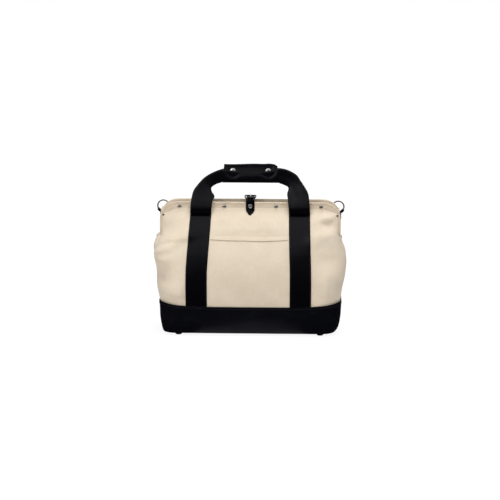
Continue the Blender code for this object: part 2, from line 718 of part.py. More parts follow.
def build_handle_web(name, front, finish, parent):
    half = handle_path()
    crease = WEB_THICKNESS / 2
    foot = []
    for turn in (0, pi / 4):
        shrink = WEB_THICKNESS * max(sin(turn), sin(pi / 8))
        low = WEB_CREASE_HEIGHT - crease * cos(turn)
        foot.append((WEB_CREASE_X, crease_pivot(1), low, WEB_WIDTH, shrink))
    half = foot + half
    path = half + [(-point[0], *point[1:]) for point in half[-2::-1]]
    rings = []
    last = len(path) - 1
    for i, point in enumerate(path):
        before = Vector(path[max(0, i - 1)][:3])
        after = Vector(path[min(last, i + 1)][:3])
        rings.append(handle_ring(point, after - before, front))
    return loft(name, rings, finish, parent)


def build_grip(name, front, finish, parent):
    """Half of the leather grip, with a passage for its webbing and a leaf above it."""
    inner = GRIP_PARTING
    leaf = inner + GRIP_LEAF
    roll_top = GRIP_BOTTOM + GRIP_LEATHER + GAP + GRIP_ROLL_WIDTH + GAP
    shoulder = roll_top + GRIP_LEATHER
    outline = ((-inner, GRIP_BOTTOM), (-GRIP_HALF_DEPTH + GRIP_LEATHER, GRIP_BOTTOM),
               (-GRIP_HALF_DEPTH, GRIP_BOTTOM + GRIP_LEATHER), (-GRIP_HALF_DEPTH, roll_top),
               (-GRIP_HALF_DEPTH + GRIP_LEATHER, shoulder), (-leaf, shoulder), (-leaf, GRIP_TOP),
               (-inner, GRIP_TOP))
    outline = [(y * front, z) for y, z in outline]
    grip = prism(name, outline, -GRIP_HALF_LENGTH, GRIP_HALF_LENGTH, finish, parent)
    wall = GRIP_HALF_DEPTH - GRIP_LEATHER
    floor = GRIP_BOTTOM + GRIP_LEATHER
    behind = -wall + GRIP_ROLL_THICKNESS + GAP + GAP
    passage = ((-wall, floor), (behind, floor), (behind, roll_top), (-wall, roll_top))
    passage = [(y * front, z) for y, z in passage]
    reach = GRIP_HALF_LENGTH + OVERRUN
    tool = prism(name + "_passage", passage, -reach, reach, finish, parent)
    combine(grip, tool, "DIFFERENCE")
    return grip


def build_snap(side, right, front_grip, back_grip, finish, front_parent, back_parent):
    """A cap with a socket in the front leaf, and a stud in the back leaf."""
    place = (SNAP_X * right, 0, GRIP_TOP - SNAP_DROP)
    leaf = GRIP_PARTING + GRIP_LEAF
    socket = SNAP_STUD_RADIUS + RUNNING_CLEARANCE
    cap = ((SNAP_CAP_RADIUS / 3, -leaf - SNAP_CAP_HEIGHT),
           (SNAP_CAP_RADIUS * 2 / 3, -leaf - SNAP_CAP_HEIGHT * SNAP_SHOULDER_SHARE),
           (SNAP_CAP_RADIUS, -leaf - SNAP_CAP_HEIGHT / 3), (SNAP_CAP_RADIUS, -leaf - GAP),
           (SNAP_POST_RADIUS, -leaf - GAP), (SNAP_POST_RADIUS, -GRIP_PARTING),
           (socket, -GRIP_PARTING), (socket, -leaf - GAP))
    turned(side + "_snap_cap", cap, place, (0, 1, 0), finish, front_parent)
    stud = ((SNAP_STUD_RADIUS, -SNAP_STUD_REACH), (SNAP_STUD_RADIUS, leaf + GAP),
            (SNAP_BACK_RADIUS, leaf + GAP), (SNAP_BACK_RADIUS, leaf + GAP + SNAP_BACK_HEIGHT))
    turned(side + "_snap_stud", stud, place, (0, 1, 0), finish, back_parent)
    for leaf_piece, shank, face in ((front_grip, SNAP_POST_RADIUS, -1), (back_grip, SNAP_STUD_RADIUS, 1)):
        bore = shank + PIN_CLEARANCE
        hole = turned(f"{leaf_piece.name}_{side}_hole", ((bore, -OVERRUN), (bore, leaf + OVERRUN)),
                      place, (0, face, 0), finish)
        hole.parent = leaf_piece.parent
        hole.matrix_parent_inverse = leaf_piece.parent.matrix_world.inverted()
        combine(leaf_piece, hole, "DIFFERENCE")


def build_rivet(name, place, front, radius, seat, finish, parent, holders):
    """A domed rivet through the rim, peened behind the canvas facing."""
    back = RIM_HALF_DEPTH - CANVAS - GAP - BAR_THICKNESS - GAP - CANVAS - GAP
    tail = RIVET_SHANK_RADIUS * 2
    profile = ((tail, -back + RIVET_HEAD_HEIGHT / 2), (tail, -back), (RIVET_SHANK_RADIUS, -back),
               (RIVET_SHANK_RADIUS, -seat), (radius, -seat), (radius, -seat - RIVET_HEAD_HEIGHT / 2),
               (radius / 2, -seat - RIVET_HEAD_HEIGHT))
    turned(name, profile, place, (0, front, 0), finish, parent, ROUND_STEPS // 2)
    bore = RIVET_SHANK_RADIUS + PIN_CLEARANCE
    hole = turned(name + "_hole", ((bore, -seat - OVERRUN), (bore, -back + OVERRUN)), place, (0, front, 0),
                  finish, parent, ROUND_STEPS // 2)
    for holder in holders:
        combine(holder, hole, "DIFFERENCE")


def strap_half_width(z):
    """Half width of the closing strap, which ends in a point on the front."""
    point_start = STRAP_TIP_HEIGHT + STRAP_WIDTH * STRAP_POINT_SHARE
    if z >= point_start:
        return STRAP_WIDTH / 2
    share = (z - STRAP_TIP_HEIGHT) / (point_start - STRAP_TIP_HEIGHT)
    return STRAP_WIDTH / 2 * max(STRAP_TIP_SHARE, sin(pi / 2 * share) ** STRAP_POWER_SHARE)


def heel_height():
    """Height of the buckle's heel bar over the rim."""
    return RIM_HEIGHT + GAP + STRAP_THICKNESS + GAP + HEEL_CLEARANCE + BUCKLE_WIRE_RADIUS + GAP


def strap_front(z, extra=0):
    """Middle of a strap that lies on the front canvas."""
    return -(upper_depth(0, z) + GAP + STRAP_THICKNESS / 2 + extra)


def build_chape(finish, parent):
    """Leather loop round the heel bar, running down the front to a point."""
    height = heel_height()
    loop = BUCKLE_WIRE_RADIUS + HEEL_CLEARANCE + STRAP_THICKNESS / 2
    points = [(-HEEL_DEPTH - loop, height - loop)]
    for i in range(9):
        turn = -pi / 2 + pi * i / 8
        points.append((-HEEL_DEPTH + loop * cos(turn), height + loop * sin(turn)))
    outer = RIM_HALF_DEPTH + STRAP_THICKNESS + GAP
    points.append((-HEEL_DEPTH - loop, height + loop * CHAPE_SHOULDER_SHARE))
    points.append((-outer + STRAP_THICKNESS / 3, height + loop / 3))
    points.append((-outer, height - loop))
    for z in levels(RIM_HEIGHT - RIM_BAND / 3, STRAP_TIP_HEIGHT, 9):
        points.append((strap_front(z), z))
    chape = loft("buckle_chape", across_mouth(points, strap_half_width, STRAP_THICKNESS), finish, parent)
    slot = PRONG_WIDTH / 2 + PRONG_SLOT_CLEARANCE
    eye = prong_eye() + GAP
    cutter = box("chape_slot", (-slot, -HEEL_DEPTH - eye - PRONG_SWING_ROOM, RIM_HEIGHT),
                 (slot, 0, height + loop + STRAP_THICKNESS), finish)
    combine(chape, cutter, "DIFFERENCE")
    return chape


def prong_eye():
    """Outer radius of the prong's eye."""
    return BUCKLE_WIRE_RADIUS + PIN_CLEARANCE + PRONG_THICKNESS


def wire_loop(name, points, radius, finish, parent):
    """A closed loop of round wire through points."""
    curve = bpy.data.curves.new(name, "CURVE")
    curve.dimensions = "3D"
    curve.bevel_depth = radius
    curve.bevel_resolution = 2
    spline = curve.splines.new("POLY")
    spline.points.add(len(points) - 1)
    for target, point in zip(spline.points, points):
        target.co = (*point, 1)
    spline.use_cyclic_u = True
    curve.materials.append(finish)
    made = bpy.data.objects.new(name, curve)
    bpy.context.scene.collection.objects.link(made)
    made.parent = parent
    made.matrix_parent_inverse = parent.matrix_world.inverted()
    return made


def build_buckle(finish, parent):
    half_x = BUCKLE_WIDTH / 2 - BUCKLE_WIRE_RADIUS
    front = -HEEL_DEPTH
    back = front + BUCKLE_LENGTH - BUCKLE_WIRE_RADIUS * 2
    points = []
    for turn_x, turn_y, start in ((1, 1, 0), (-1, 1, 1), (-1, -1, 2), (1, -1, 3)):
        corner = BUCKLE_CORNER if turn_y > 0 else BUCKLE_WIRE_RADIUS
        middle_x = turn_x * (half_x - corner)
        middle_y = back - corner if turn_y > 0 else front + corner
        for i in range(5):
            turn = pi / 2 * (start + i / 4)
            points.append((middle_x + corner * cos(turn), middle_y + corner * sin(turn), heel_height()))
    return wire_loop("buckle", points, BUCKLE_WIRE_RADIUS, finish, parent)


def build_prong(finish, parent):
    """An eye on the heel bar and an arm that rests on the far bar."""
    eye = prong_eye()
    height = heel_height()
    far = -HEEL_DEPTH + BUCKLE_LENGTH - BUCKLE_WIRE_RADIUS * 2
    rest = height + BUCKLE_WIRE_RADIUS + GAP
    tip = far + BUCKLE_WIRE_RADIUS + PRONG_OVERHANG
    lift = PRONG_THICKNESS / 2
    start = PRONG_EYE_ANGLE
    outline = []
    for i in range(13):
        turn = pi / 2 + start + (2 * pi - pi / 2 - start) * i / 12
        outline.append((-HEEL_DEPTH + eye * cos(turn), height + eye * sin(turn)))
    knee = far - BUCKLE_WIRE_RADIUS * 3
    outline += [(knee, rest - lift), (far, rest), (tip, rest + lift),
                (tip, rest + lift + PRONG_THICKNESS / 2), (far, rest + PRONG_THICKNESS),
                (knee, rest + PRONG_THICKNESS),
                (-HEEL_DEPTH + eye, rest + PRONG_THICKNESS)]
    half = PRONG_WIDTH / 2
    prong = prism("buckle_prong", outline, -half, half, finish, parent)
    bore = BUCKLE_WIRE_RADIUS + PIN_CLEARANCE
    reach = half + OVERRUN
    hole = turned("prong_eye_hole", ((bore, -reach), (bore, reach)), (0, -HEEL_DEPTH, height), (1, 0, 0),
                  finish, parent)
    combine(prong, hole, "DIFFERENCE")
    return prong


def build_billet(finish, parent):
    """Leather strap from the back rim, under the far bar and over the heel of the buckle."""
    height = heel_height()
    half = STRAP_THICKNESS / 2
    far = -HEEL_DEPTH + BUCKLE_LENGTH - BUCKLE_WIRE_RADIUS * 2
    under = height - BUCKLE_WIRE_RADIUS - GAP - half
    over = height + BUCKLE_WIRE_RADIUS + HEEL_CLEARANCE + STRAP_THICKNESS + GAP + GAP + half
    points = [(-strap_front(z), z) for z in levels(STRAP_TIP_HEIGHT, RIM_HEIGHT - RIM_BAND / 3, 5)]
    outer = RIM_HALF_DEPTH + GAP + half
    first, second, third = BILLET_BEND_SHARES
    points += [(outer, RIM_HEIGHT), (outer - half, under - half / 2), (outer - STRAP_THICKNESS * 2, under),
               (far, under), (far - BUCKLE_LENGTH * first, under + half / 2),
               (far - BUCKLE_LENGTH * second, (under + over) / 2),
               (-HEEL_DEPTH + BUCKLE_LENGTH * third, over - half),
               (-HEEL_DEPTH, over), (-RIM_HALF_DEPTH, over - half / 3)]
    half_width = (STRAP_WIDTH - STRAP_THICKNESS) / 2
    billet = loft("billet_strap", across_mouth(points, lambda z: half_width, STRAP_THICKNESS), finish, parent)
    slot = PRONG_WIDTH / 2 + PRONG_SLOT_CLEARANCE
    cutter = box("billet_hole", (-slot, -HEEL_DEPTH + prong_eye() / 2, under - STRAP_THICKNESS * 2),
                 (slot, far - BUCKLE_LENGTH * BILLET_SLOT_SHARE, over + STRAP_THICKNESS * 2), finish)
    combine(billet, cutter, "DIFFERENCE")
    return billet


def ring_places(right):
    """Centre of a corner ring, the point where its clip holds it, and the run there."""
    radius = RING_OUTER_RADIUS - RING_WIRE_RADIUS
    y = RIM_HALF_DEPTH + RING_STANDOFF
    centre = Vector((RING_X * right, y, RING_HEIGHT))
    hold = centre + Vector((right * radius * cos(RING_HOLD_ANGLE), 0, -radius * sin(RING_HOLD_ANGLE)))
    run = Vector((right * sin(RING_HOLD_ANGLE), 0, cos(RING_HOLD_ANGLE)))
    return centre, hold, run


def build_ring(name, right, finish, parent):
    centre, _, _ = ring_places(right)
    radius = RING_OUTER_RADIUS - RING_WIRE_RADIUS
    steps = ROUND_STEPS + 4
    points = [centre + Vector((radius * cos(2 * pi * i / steps), 0, radius * sin(2 * pi * i / steps)))
              for i in range(steps)]
    return wire_loop(name, points, RING_WIRE_RADIUS, finish, parent)


def build_ring_clip(name, right, finish, parent):
    """An eye round the ring's wire, on a plate that a corner rivet holds."""
    _, hold, run = ring_places(right)
    plate_y = RIM_HALF_DEPTH + GAP
    bore = RING_WIRE_RADIUS + RUNNING_CLEARANCE / 2
    outer = bore + CLIP_WALL
    clip = turned(name, ((outer, -CLIP_LENGTH / 2), (outer, CLIP_LENGTH / 2)), hold, run, finish, parent)
    rivet_x = (RIM_HALF_LENGTH - BAR_WIDTH / 2) * right
    low = CLIP_RIVET_HEIGHT - CLIP_PLATE_HALF_WIDTH
    inner_x = rivet_x - CLIP_PLATE_HALF_WIDTH * right
    outer_x = hold.x + run.x * CLIP_LENGTH / 4
    inner_z = low + (hold.z - low) * CLIP_SLOPE_SHARE
    ring = [(inner_x, plate_y, low), (outer_x, plate_y, low), (outer_x, plate_y, hold.z),
            (inner_x, plate_y, inner_z)]
    plate = loft(name + "_plate", [ring, [(x, y + CLIP_PLATE, z) for x, y, z in ring]], finish, parent)
    combine(clip, plate, "UNION")
    hole = turned(name + "_eye", ((bore, -CLIP_LENGTH), (bore, CLIP_LENGTH)), hold, run, finish, parent)
    combine(clip, hole, "DIFFERENCE")
    return clip


def build_gusset_fold(name, right, finish):
    """Canvas folded inwards between the two halves of the frame."""
    _, back = bar_faces()
    start = RIM_HALF_LENGTH - BAR_WIDTH + CANVAS
    apex = start - FOLD_REACH
    y = back - GAP
    rings = []
    for z in levels(PIN_HEIGHT - LUG_RADIUS + FOLD_BOTTOM_RISE, FOLD_TOP, 4):
        ring = [(start, -y, z), (apex, 0, z), (start, y, z),
                (start - CANVAS - CANVAS, y, z), (apex - CANVAS - CANVAS, 0, z),
                (start - CANVAS - CANVAS, -y, z)]
        rings.append(mirrored(ring, right))
    return loft(name, rings, finish)


def clear_scene():
    for old in list(bpy.data.objects):
        bpy.data.objects.remove(old)


def main():
    clear_scene()
    canvas = material("canvas", CANVAS_COLOUR, 0.9, 0)
    webbing = material("webbing", BLACK_CLOTH, 0.85, 0)
    boot_skin = material("boot_skin", BOOT_COLOUR, 0.5, 0)
    leather = material("leather", LEATHER_COLOUR, 0.45, 0)
    nickel = material("nickel", NICKEL, 0.25, 1)
    dark = material("dark_steel", DARK_STEEL, 0.4, 1)
    steel = material("steel", STEEL, 0.4, 1)
    board = material("fibreboard", BOARD_COLOUR, 0.8, 0)
    rubber = material("rubber", RUBBER_COLOUR, 0.6, 0)

    boot = build_boot(boot_skin)
    bottom = build_board(board)
    for face, front in (("front", -1), ("back", 1)):
        for side, right in (("left", -1), ("right", 1)):
            build_foot(f"foot_{face}_{side}", FOOT_X * right, FOOT_Y * front, rubber, (boot, bottom))
    build_lower_canvas(canvas)
    build_pocket(canvas)
    for side, right in (("left", -1), ("right", 1)):
        build_pin(side + "_hinge_pin", right, steel)
        build_gusset_fold(side + "_gusset_fold", right, canvas)

    frames = {}
    grips = {}
    handles = {}
    for face, front in (("front", 1), ("back", -1)):
        frame = joint(face + "_frame_axis", (0, 0, PIN_HEIGHT))
        handle = joint(face + "_handle_axis", (0, crease_pivot(front), WEB_CREASE_HEIGHT), frame)
        bar = build_frame_bar(face + "_frame_bar", front, steel, frame)
        panel = build_upper_panel(face + "_panel_upper", front, canvas, frame)
        frames[face] = (frame, bar, panel)
        handles[face] = handle
        low_end = BOOT_HEIGHT + GAP + GAP
        upper_start = FOLD_HEIGHT + WEB_UPPER_START
        crease_end = WEB_CREASE_HEIGHT - WEB_THICKNESS / 2 - GAP - CREASE_ROOM
        for side, right in (("left", -1), ("right", 1)):
            build_web(f"{face}_{side}_web_lower", right, front, low_end, FOLD_HEIGHT - GAP, lower_surface,
                      webbing)
            build_web(f"{face}_{side}_web_upper", right, front, upper_start, crease_end, upper_surface,
                      webbing, frame)
            corner_z = CORNER_RIVET_HEIGHT if front > 0 else CLIP_RIVET_HEIGHT
            corner_seat = RIM_HALF_DEPTH + GAP
            holders = [bar, panel]
            if front < 0:
                holders.append(build_ring_clip(side + "_ring_clip", right, dark, frame))
                corner_seat += CLIP_PLATE + GAP
            corner_place = ((RIM_HALF_LENGTH - BAR_WIDTH / 2) * right, 0, corner_z)
            build_rivet(f"{face}_{side}_corner_rivet", corner_place, front, CORNER_RIVET_RADIUS, corner_seat,
                        dark, frame, holders)
        rivets = [-share for share in RIM_RIVET_SHARES] + [share for share in RIM_RIVET_SHARES[::-1]]
        for number, share in enumerate(rivets, 1):
            place = (RIM_HALF_LENGTH * share, 0, RIVET_HEIGHT)
            build_rivet(f"{face}_rim_rivet_{number}", place, front, RIM_RIVET_RADIUS,
                        RIM_HALF_DEPTH + GAP, nickel, frame, (bar, panel))
        build_handle_web(face + "_handle_web", front, webbing, handle)
        grips[face] = build_grip(face + "_grip", front, leather, handle)

    for side, right in (("left", -1), ("right", 1)):
        build_snap(side, right, grips["front"], grips["back"], nickel, handles["front"], handles["back"])
        _, hold, _ = ring_places(right)
        ring_axis = joint(side + "_ring_axis", hold, frames["back"][0])
        build_ring(side + "_ring", right, dark, ring_axis)

    frame, bar, panel = frames["front"]
    chape = build_chape(leather, frame)
    strap_seat = RIM_HALF_DEPTH + GAP + STRAP_THICKNESS + GAP
    build_rivet("chape_rivet", (0, 0, RIVET_HEIGHT), 1, CHAPE_RIVET_RADIUS, strap_seat, nickel, frame,
                (bar, panel, chape))
    heel = joint("buckle_axis", (0, -HEEL_DEPTH, heel_height()), frame)
    build_buckle(dark, heel)
    prong_axis = joint("prong_axis", (0, -HEEL_DEPTH, heel_height()), heel)
    build_prong(nickel, prong_axis)
    frame, bar, panel = frames["back"]
    billet = build_billet(leather, frame)
    build_rivet("billet_rivet", (0, 0, RIVET_HEIGHT), -1, CHAPE_RIVET_RADIUS, strap_seat, nickel, frame,
                (bar, panel, billet))


main()
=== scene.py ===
# %% [markdown]
# # A canvas tool bag, dressed over its frame
#
# The packed CAD model says where every part of the bag is and how it moves. This script puts
# cloth, webbing, leather and bright metal over it. All lengths are in metres: X runs along the
# bag, the front looks to -Y, and Z is up from the floor.

# %% Load the frame
from math import cos, exp, pi, radians, sin, sqrt

import bmesh
import bpy
import numpy as np
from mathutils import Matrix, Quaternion, Vector, noise
from mathutils.geometry import interpolate_bezier


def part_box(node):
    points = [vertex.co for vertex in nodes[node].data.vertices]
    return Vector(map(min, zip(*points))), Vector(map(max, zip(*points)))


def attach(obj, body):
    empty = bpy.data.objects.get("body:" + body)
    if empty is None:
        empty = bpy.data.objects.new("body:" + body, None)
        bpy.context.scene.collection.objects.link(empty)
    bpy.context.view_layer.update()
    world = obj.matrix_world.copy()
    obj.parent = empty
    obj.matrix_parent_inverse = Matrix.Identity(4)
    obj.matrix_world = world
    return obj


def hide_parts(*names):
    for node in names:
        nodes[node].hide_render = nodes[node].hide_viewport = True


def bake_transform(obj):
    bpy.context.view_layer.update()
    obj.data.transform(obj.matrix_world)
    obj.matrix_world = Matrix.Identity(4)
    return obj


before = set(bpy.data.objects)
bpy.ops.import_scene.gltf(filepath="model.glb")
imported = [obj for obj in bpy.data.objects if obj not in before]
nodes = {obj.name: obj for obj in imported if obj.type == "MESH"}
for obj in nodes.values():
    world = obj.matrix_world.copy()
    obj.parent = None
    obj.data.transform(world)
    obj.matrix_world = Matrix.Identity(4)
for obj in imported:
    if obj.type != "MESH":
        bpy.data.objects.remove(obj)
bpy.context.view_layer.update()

# %% [markdown]
# ## Camera
#
# The photograph was taken from far away, a little above the rim and a little from the right.
# A long lens keeps the verticals straight. The numbers come from fitting known places on the
# bag, such as rivets and feet, to where they lie in the picture of 500 by 500 pixels.

# %% Camera at the photograph's angle
PICTURE = 500
SENSOR = 36.0
AZIMUTH = radians(1.7)
ELEVATION = radians(9.0)
ROLL = radians(0.2)
DISTANCE = 4.5
PIXELS_PER_METRE = 413.0
AIM = Vector((0, 0, 0.2))
AIM_PIXEL = (250.3, 248.4)

back = Vector((sin(AZIMUTH) * cos(ELEVATION), -cos(AZIMUTH) * cos(ELEVATION), sin(ELEVATION)))
right = Vector((cos(AZIMUTH), sin(AZIMUTH), 0))
up = back.cross(right)
half = PICTURE / 2
place = AIM + back * DISTANCE
place -= right * (AIM_PIXEL[0] - half) / PIXELS_PER_METRE
place += up * (AIM_PIXEL[1] - half) / PIXELS_PER_METRE

camera = bpy.data.objects.new("camera", bpy.data.cameras.new("camera"))
bpy.context.scene.collection.objects.link(camera)
bpy.context.scene.camera = camera
camera.data.sensor_width = SENSOR
camera.data.lens = PIXELS_PER_METRE * DISTANCE / PICTURE * SENSOR
camera.location = place
camera.rotation_mode = "QUATERNION"
camera.rotation_quaternion = Quaternion(back, ROLL) @ (-back).to_track_quat("-Z", "Y")
print("lens in mm:", round(camera.data.lens, 1))

# %% [markdown]
# ## Sums of shader nodes
#
# A finish is a sum of patterns, such as a weave and a little grain. Blender works sums out with
# Math nodes, which take many lines to place and link by hand. A small class holds one socket and
# answers to + - and *, so a finish is written as a sum, and the class adds the nodes.

# %% A class for shader sums
class Wire:
    """A socket of a shader tree. Sums of wires add the nodes that work them out."""

    def __init__(self, tree, socket=None):
        self.tree = tree
        self.socket = socket

    def node(self, kind, settings=None, sockets=None, output=0):
        """Any node: its type, settings, the values or wires of its sockets, and the output wanted."""
        made = self.tree.nodes.new(kind)
        for name, value in (settings or {}).items():
            setattr(made, name, value)
        for name, value in (sockets or {}).items():
            if isinstance(value, Wire):
                self.tree.links.new(value.socket, made.inputs[name])
            else:
                made.inputs[name].default_value = value
        return Wire(self.tree, made.outputs[output]) if made.outputs else made

    def math(self, operation, *values):
        return self.node("ShaderNodeMath", {"operation": operation}, dict(enumerate(values)))

    def __add__(self, other):
        return self.math("ADD", self, other)

    def __sub__(self, other):
        return self.math("SUBTRACT", self, other)

    def __rsub__(self, other):
        return self.math("SUBTRACT", other, self)

    def __mul__(self, other):
        return self.math("MULTIPLY", self, other)

    __radd__ = __add__
    __rmul__ = __mul__

    def sine(self):
        return self.math("SINE", self)

    def axis(self, name):
        return self.node("ShaderNodeSeparateXYZ", {}, {0: self}, name)

    def scaled(self, x, y, z=1):
        return self.node("ShaderNodeVectorMath", {"operation": "MULTIPLY"}, {0: self, 1: (x, y, z)})

    def noise(self, scale, detail=2.0, roughness=0.5):
        return self.node("ShaderNodeTexNoise", {}, {"Vector": self, "Scale": scale, "Detail": detail,
                                                    "Roughness": roughness})

    def step(self, start, end):
        """0 below start, 1 above end, and smooth between."""
        return self.node("ShaderNodeMapRange", {"interpolation_type": "SMOOTHSTEP"},
                         {"Value": self, "From Min": start, "From Max": end})

    def mix(self, low, high):
        """A colour between two, by this wire's value."""
        ends = [end if isinstance(end, Wire) else (*end, 1) for end in (low, high)]
        return self.node("ShaderNodeMix", {"data_type": "RGBA"}, {0: self, 6: ends[0], 7: ends[1]}, 2)

    def bump(self, height, strength=1.0):
        """The normal of a surface that this wire's height, in metres, stands out from."""
        return self.node("ShaderNodeBump", {}, {"Height": self, "Distance": height, "Strength": strength})


def coordinates(wire, kind):
    """Places on a surface in millimetres, from its UV map or from its own axes."""
    return wire.node("ShaderNodeTexCoord", {}, {}, kind).scaled(1000, 1000, 1000)


print("sums of sockets:", [name for name in vars(Wire) if name.endswith(("add__", "sub__", "mul__"))])

# %% [markdown]
# ## Studio
#
# The bag stands in a white surround. A surround as bright as white paper would also flood the
# bag with light, so it has two strengths: the camera, and anything that mirrors the surround,
# sees a strength of 1, and the light that falls on the bag stays at a plain level.

# %% White surround
AMBIENT = 0.42
world = bpy.data.worlds.new("studio")
bpy.context.scene.world = world
world.use_nodes = True


def looked_at(wire):
    """1 where the camera or a mirror looks, and 0 for the light that falls on things."""
    path = [wire.node("ShaderNodeLightPath", {}, {}, name)
            for name in ("Is Camera Ray", "Is Glossy Ray", "Is Transmission Ray")]
    return wire.math("MINIMUM", path[0] + path[1] + path[2], 1.0)


wire = Wire(world.node_tree)
surround = world.node_tree.nodes["Background"]
surround.inputs["Color"].default_value = (1, 1, 1, 1)
strength = looked_at(wire) * (1 - AMBIENT) + AMBIENT
world.node_tree.links.new(strength.socket, surround.inputs["Strength"])
print("surround: strength", AMBIENT, "on the bag")

# %% [markdown]
# ## Floor and dark card
#
# The floor is pale under the bag, keeps a trace of its shadow, and turns as white as the surround
# further out. Black skin and leather need something dark to mirror, or they turn grey. In a
# studio a dark card is laid just outside the picture. Here it lies on the floor round the bag
# and stands up at its far edge, and only mirror rays see it.

# %% Floor and dark card
KEPT_SHADOW = 0.12
FADE_START, FADE_END = 350, 900  # millimetres from the bag over which the floor turns white


def stage_piece(name, mesh, low, seen, high, matt_share=0.0):
    """A floor or wall that mixes a matt colour with a plain glow.

    low is the matt colour for light that falls on the bag, seen the one for the camera and mirrors,
    and high the glow. The matt share fades out away from the bag."""
    paint = bpy.data.materials.new(name)
    paint.use_nodes = True
    paint.node_tree.nodes.clear()
    wire = Wire(paint.node_tree)
    spot = coordinates(wire, "Object")
    away = wire.math("SQRT", spot.axis("X") * spot.axis("X") + spot.axis("Y") * spot.axis("Y"))
    share = 1 - (1 - away.step(FADE_START, FADE_END)) * matt_share
    matt = wire.node("ShaderNodeBsdfDiffuse", {}, {"Color": looked_at(wire).mix(low, seen)})
    glow = wire.node("ShaderNodeEmission", {}, {"Color": (*high, 1), "Strength": 1.0})
    wire.node("ShaderNodeOutputMaterial", {}, {
        "Surface": wire.node("ShaderNodeMixShader", {}, {0: looked_at(wire) * share, 1: matt, 2: glow})})
    mesh.materials.append(paint)
    made = bpy.data.objects.new(name, mesh)
    bpy.context.scene.collection.objects.link(made)
    return made


FLOOR_HALF = 6.0
mesh = bpy.data.meshes.new("floor")
mesh.from_pydata([(-FLOOR_HALF, -FLOOR_HALF, 0), (FLOOR_HALF, -FLOOR_HALF, 0),
                  (FLOOR_HALF, FLOOR_HALF, 0), (-FLOOR_HALF, FLOOR_HALF, 0)], [], [(0, 1, 2, 3)])
stage_piece("floor", mesh, (0.80, 0.785, 0.77), (0.97, 0.97, 0.97), (1.045, 1.045, 1.045), KEPT_SHADOW)

CARD_INSIDE, CARD_RADIUS, CARD_TOP, CARD_LIFT = 0.16, 1.0, 0.70, 0.0005
SIDES_OF_CARD = 64
rings = ((CARD_INSIDE, CARD_LIFT), (CARD_RADIUS, CARD_LIFT), (CARD_RADIUS, CARD_TOP))
points, quads = [], []
for k, (radius, z) in enumerate(rings):
    for i in range(SIDES_OF_CARD):
        t, after = 2 * pi * i / SIDES_OF_CARD, (i + 1) % SIDES_OF_CARD
        points.append((radius * cos(t), radius * sin(t), z))
        if k < len(rings) - 1:
            low, high = k * SIDES_OF_CARD, (k + 1) * SIDES_OF_CARD
            quads.append((low + i, low + after, high + after, high + i))
mesh = bpy.data.meshes.new("dark_wall")
mesh.from_pydata(points, [], quads)
wall = stage_piece("dark_wall", mesh, (0.02, 0.02, 0.025), (0.02, 0.02, 0.025), (0.040, 0.040, 0.048))
wall.visible_camera = False
wall.visible_diffuse = False
wall.visible_transmission = False
wall.visible_shadow = False
print("floor keeps", KEPT_SHADOW, "of the shadow, and the card has", len(quads), "faces")

# %% [markdown]
# ## Lamps
#
# Three round soft lamps light the bag. The largest hangs above and in front, and isn't mirrored,
# because its disc would show on the leather. One from the left front models the folds, and one
# from behind keeps the back from going dark. Wide discs give the soft shadow edge of a studio.

# %% Lamps
AIM_OF_LAMPS = (0, 0, 0.2)


def lamp(name, place, size, power):
    data = bpy.data.lights.new(name, "AREA")
    data.shape = "DISK"
    data.size = size
    data.energy = power
    made = bpy.data.objects.new(name, data)
    bpy.context.scene.collection.objects.link(made)
    made.location = place
    made.rotation_mode = "QUATERNION"
    made.rotation_quaternion = (Vector(AIM_OF_LAMPS) - Vector(place)).to_track_quat("-Z", "Y")
    return made


lamp("top_lamp", (0.2, -0.6, 2.3), 1.5, 32).visible_glossy = False
lamp("front_lamp", (-1.4, -2.0, 1.4), 1.0, 13)
lamp("back_lamp", (0.6, 2.2, 1.6), 1.2, 12)
bpy.context.scene.view_settings.view_transform = "Standard"
print("lamps:", len(bpy.data.lights))

# %% [markdown]
# ## Finishes
#
# A photo of cloth wrapped round a model repeats and blurs, so each finish here is a sum of
# patterns. It is built from the distance along the cloth or skin in millimetres, so that a thread
# has its real width on every piece. Two helpers make a material and feed its changing sockets.

# %% Finish helpers
SHADER = "Principled BSDF"


def finish(name, **fixed):
    """A material with fixed values on its shader's sockets, and a wire to build on."""
    made = bpy.data.materials.new(name)
    made.use_nodes = True
    shader = made.node_tree.nodes[SHADER]
    for socket, value in fixed.items():
        socket = socket.replace("_", " ")
        target = shader.inputs[socket]
        target.default_value = (*value, 1) if isinstance(value, tuple) else value
    return made, Wire(made.node_tree)


def feed(made, **wires):
    """Link wires to the shader's sockets."""
    shader = made.node_tree.nodes[SHADER]
    for socket, wire in wires.items():
        made.node_tree.links.new(wire.socket, shader.inputs[socket.replace("_", " ")])


print("finishes feed a", SHADER)

# %% [markdown]
# ## Canvas
#
# Heavy cotton duck is a plain weave of thick threads. Two sine waves multiplied give a checker of
# raised crossings, long thin noise gives the odd thicker thread each way, and wide soft patches
# give the cloth its uneven tone.

# %% Canvas
CREAM = (0.83, 0.722, 0.580)
CREAM_DEEP = (0.725, 0.612, 0.465)
THREAD = 0.95  # from one thread to the next, in millimetres


def plain_weave(cloth):
    """Raised crossings of the threads that run along and across the cloth."""
    return (cloth.axis("X") * (pi / THREAD)).sine() * (cloth.axis("Y") * (pi / THREAD)).sine()


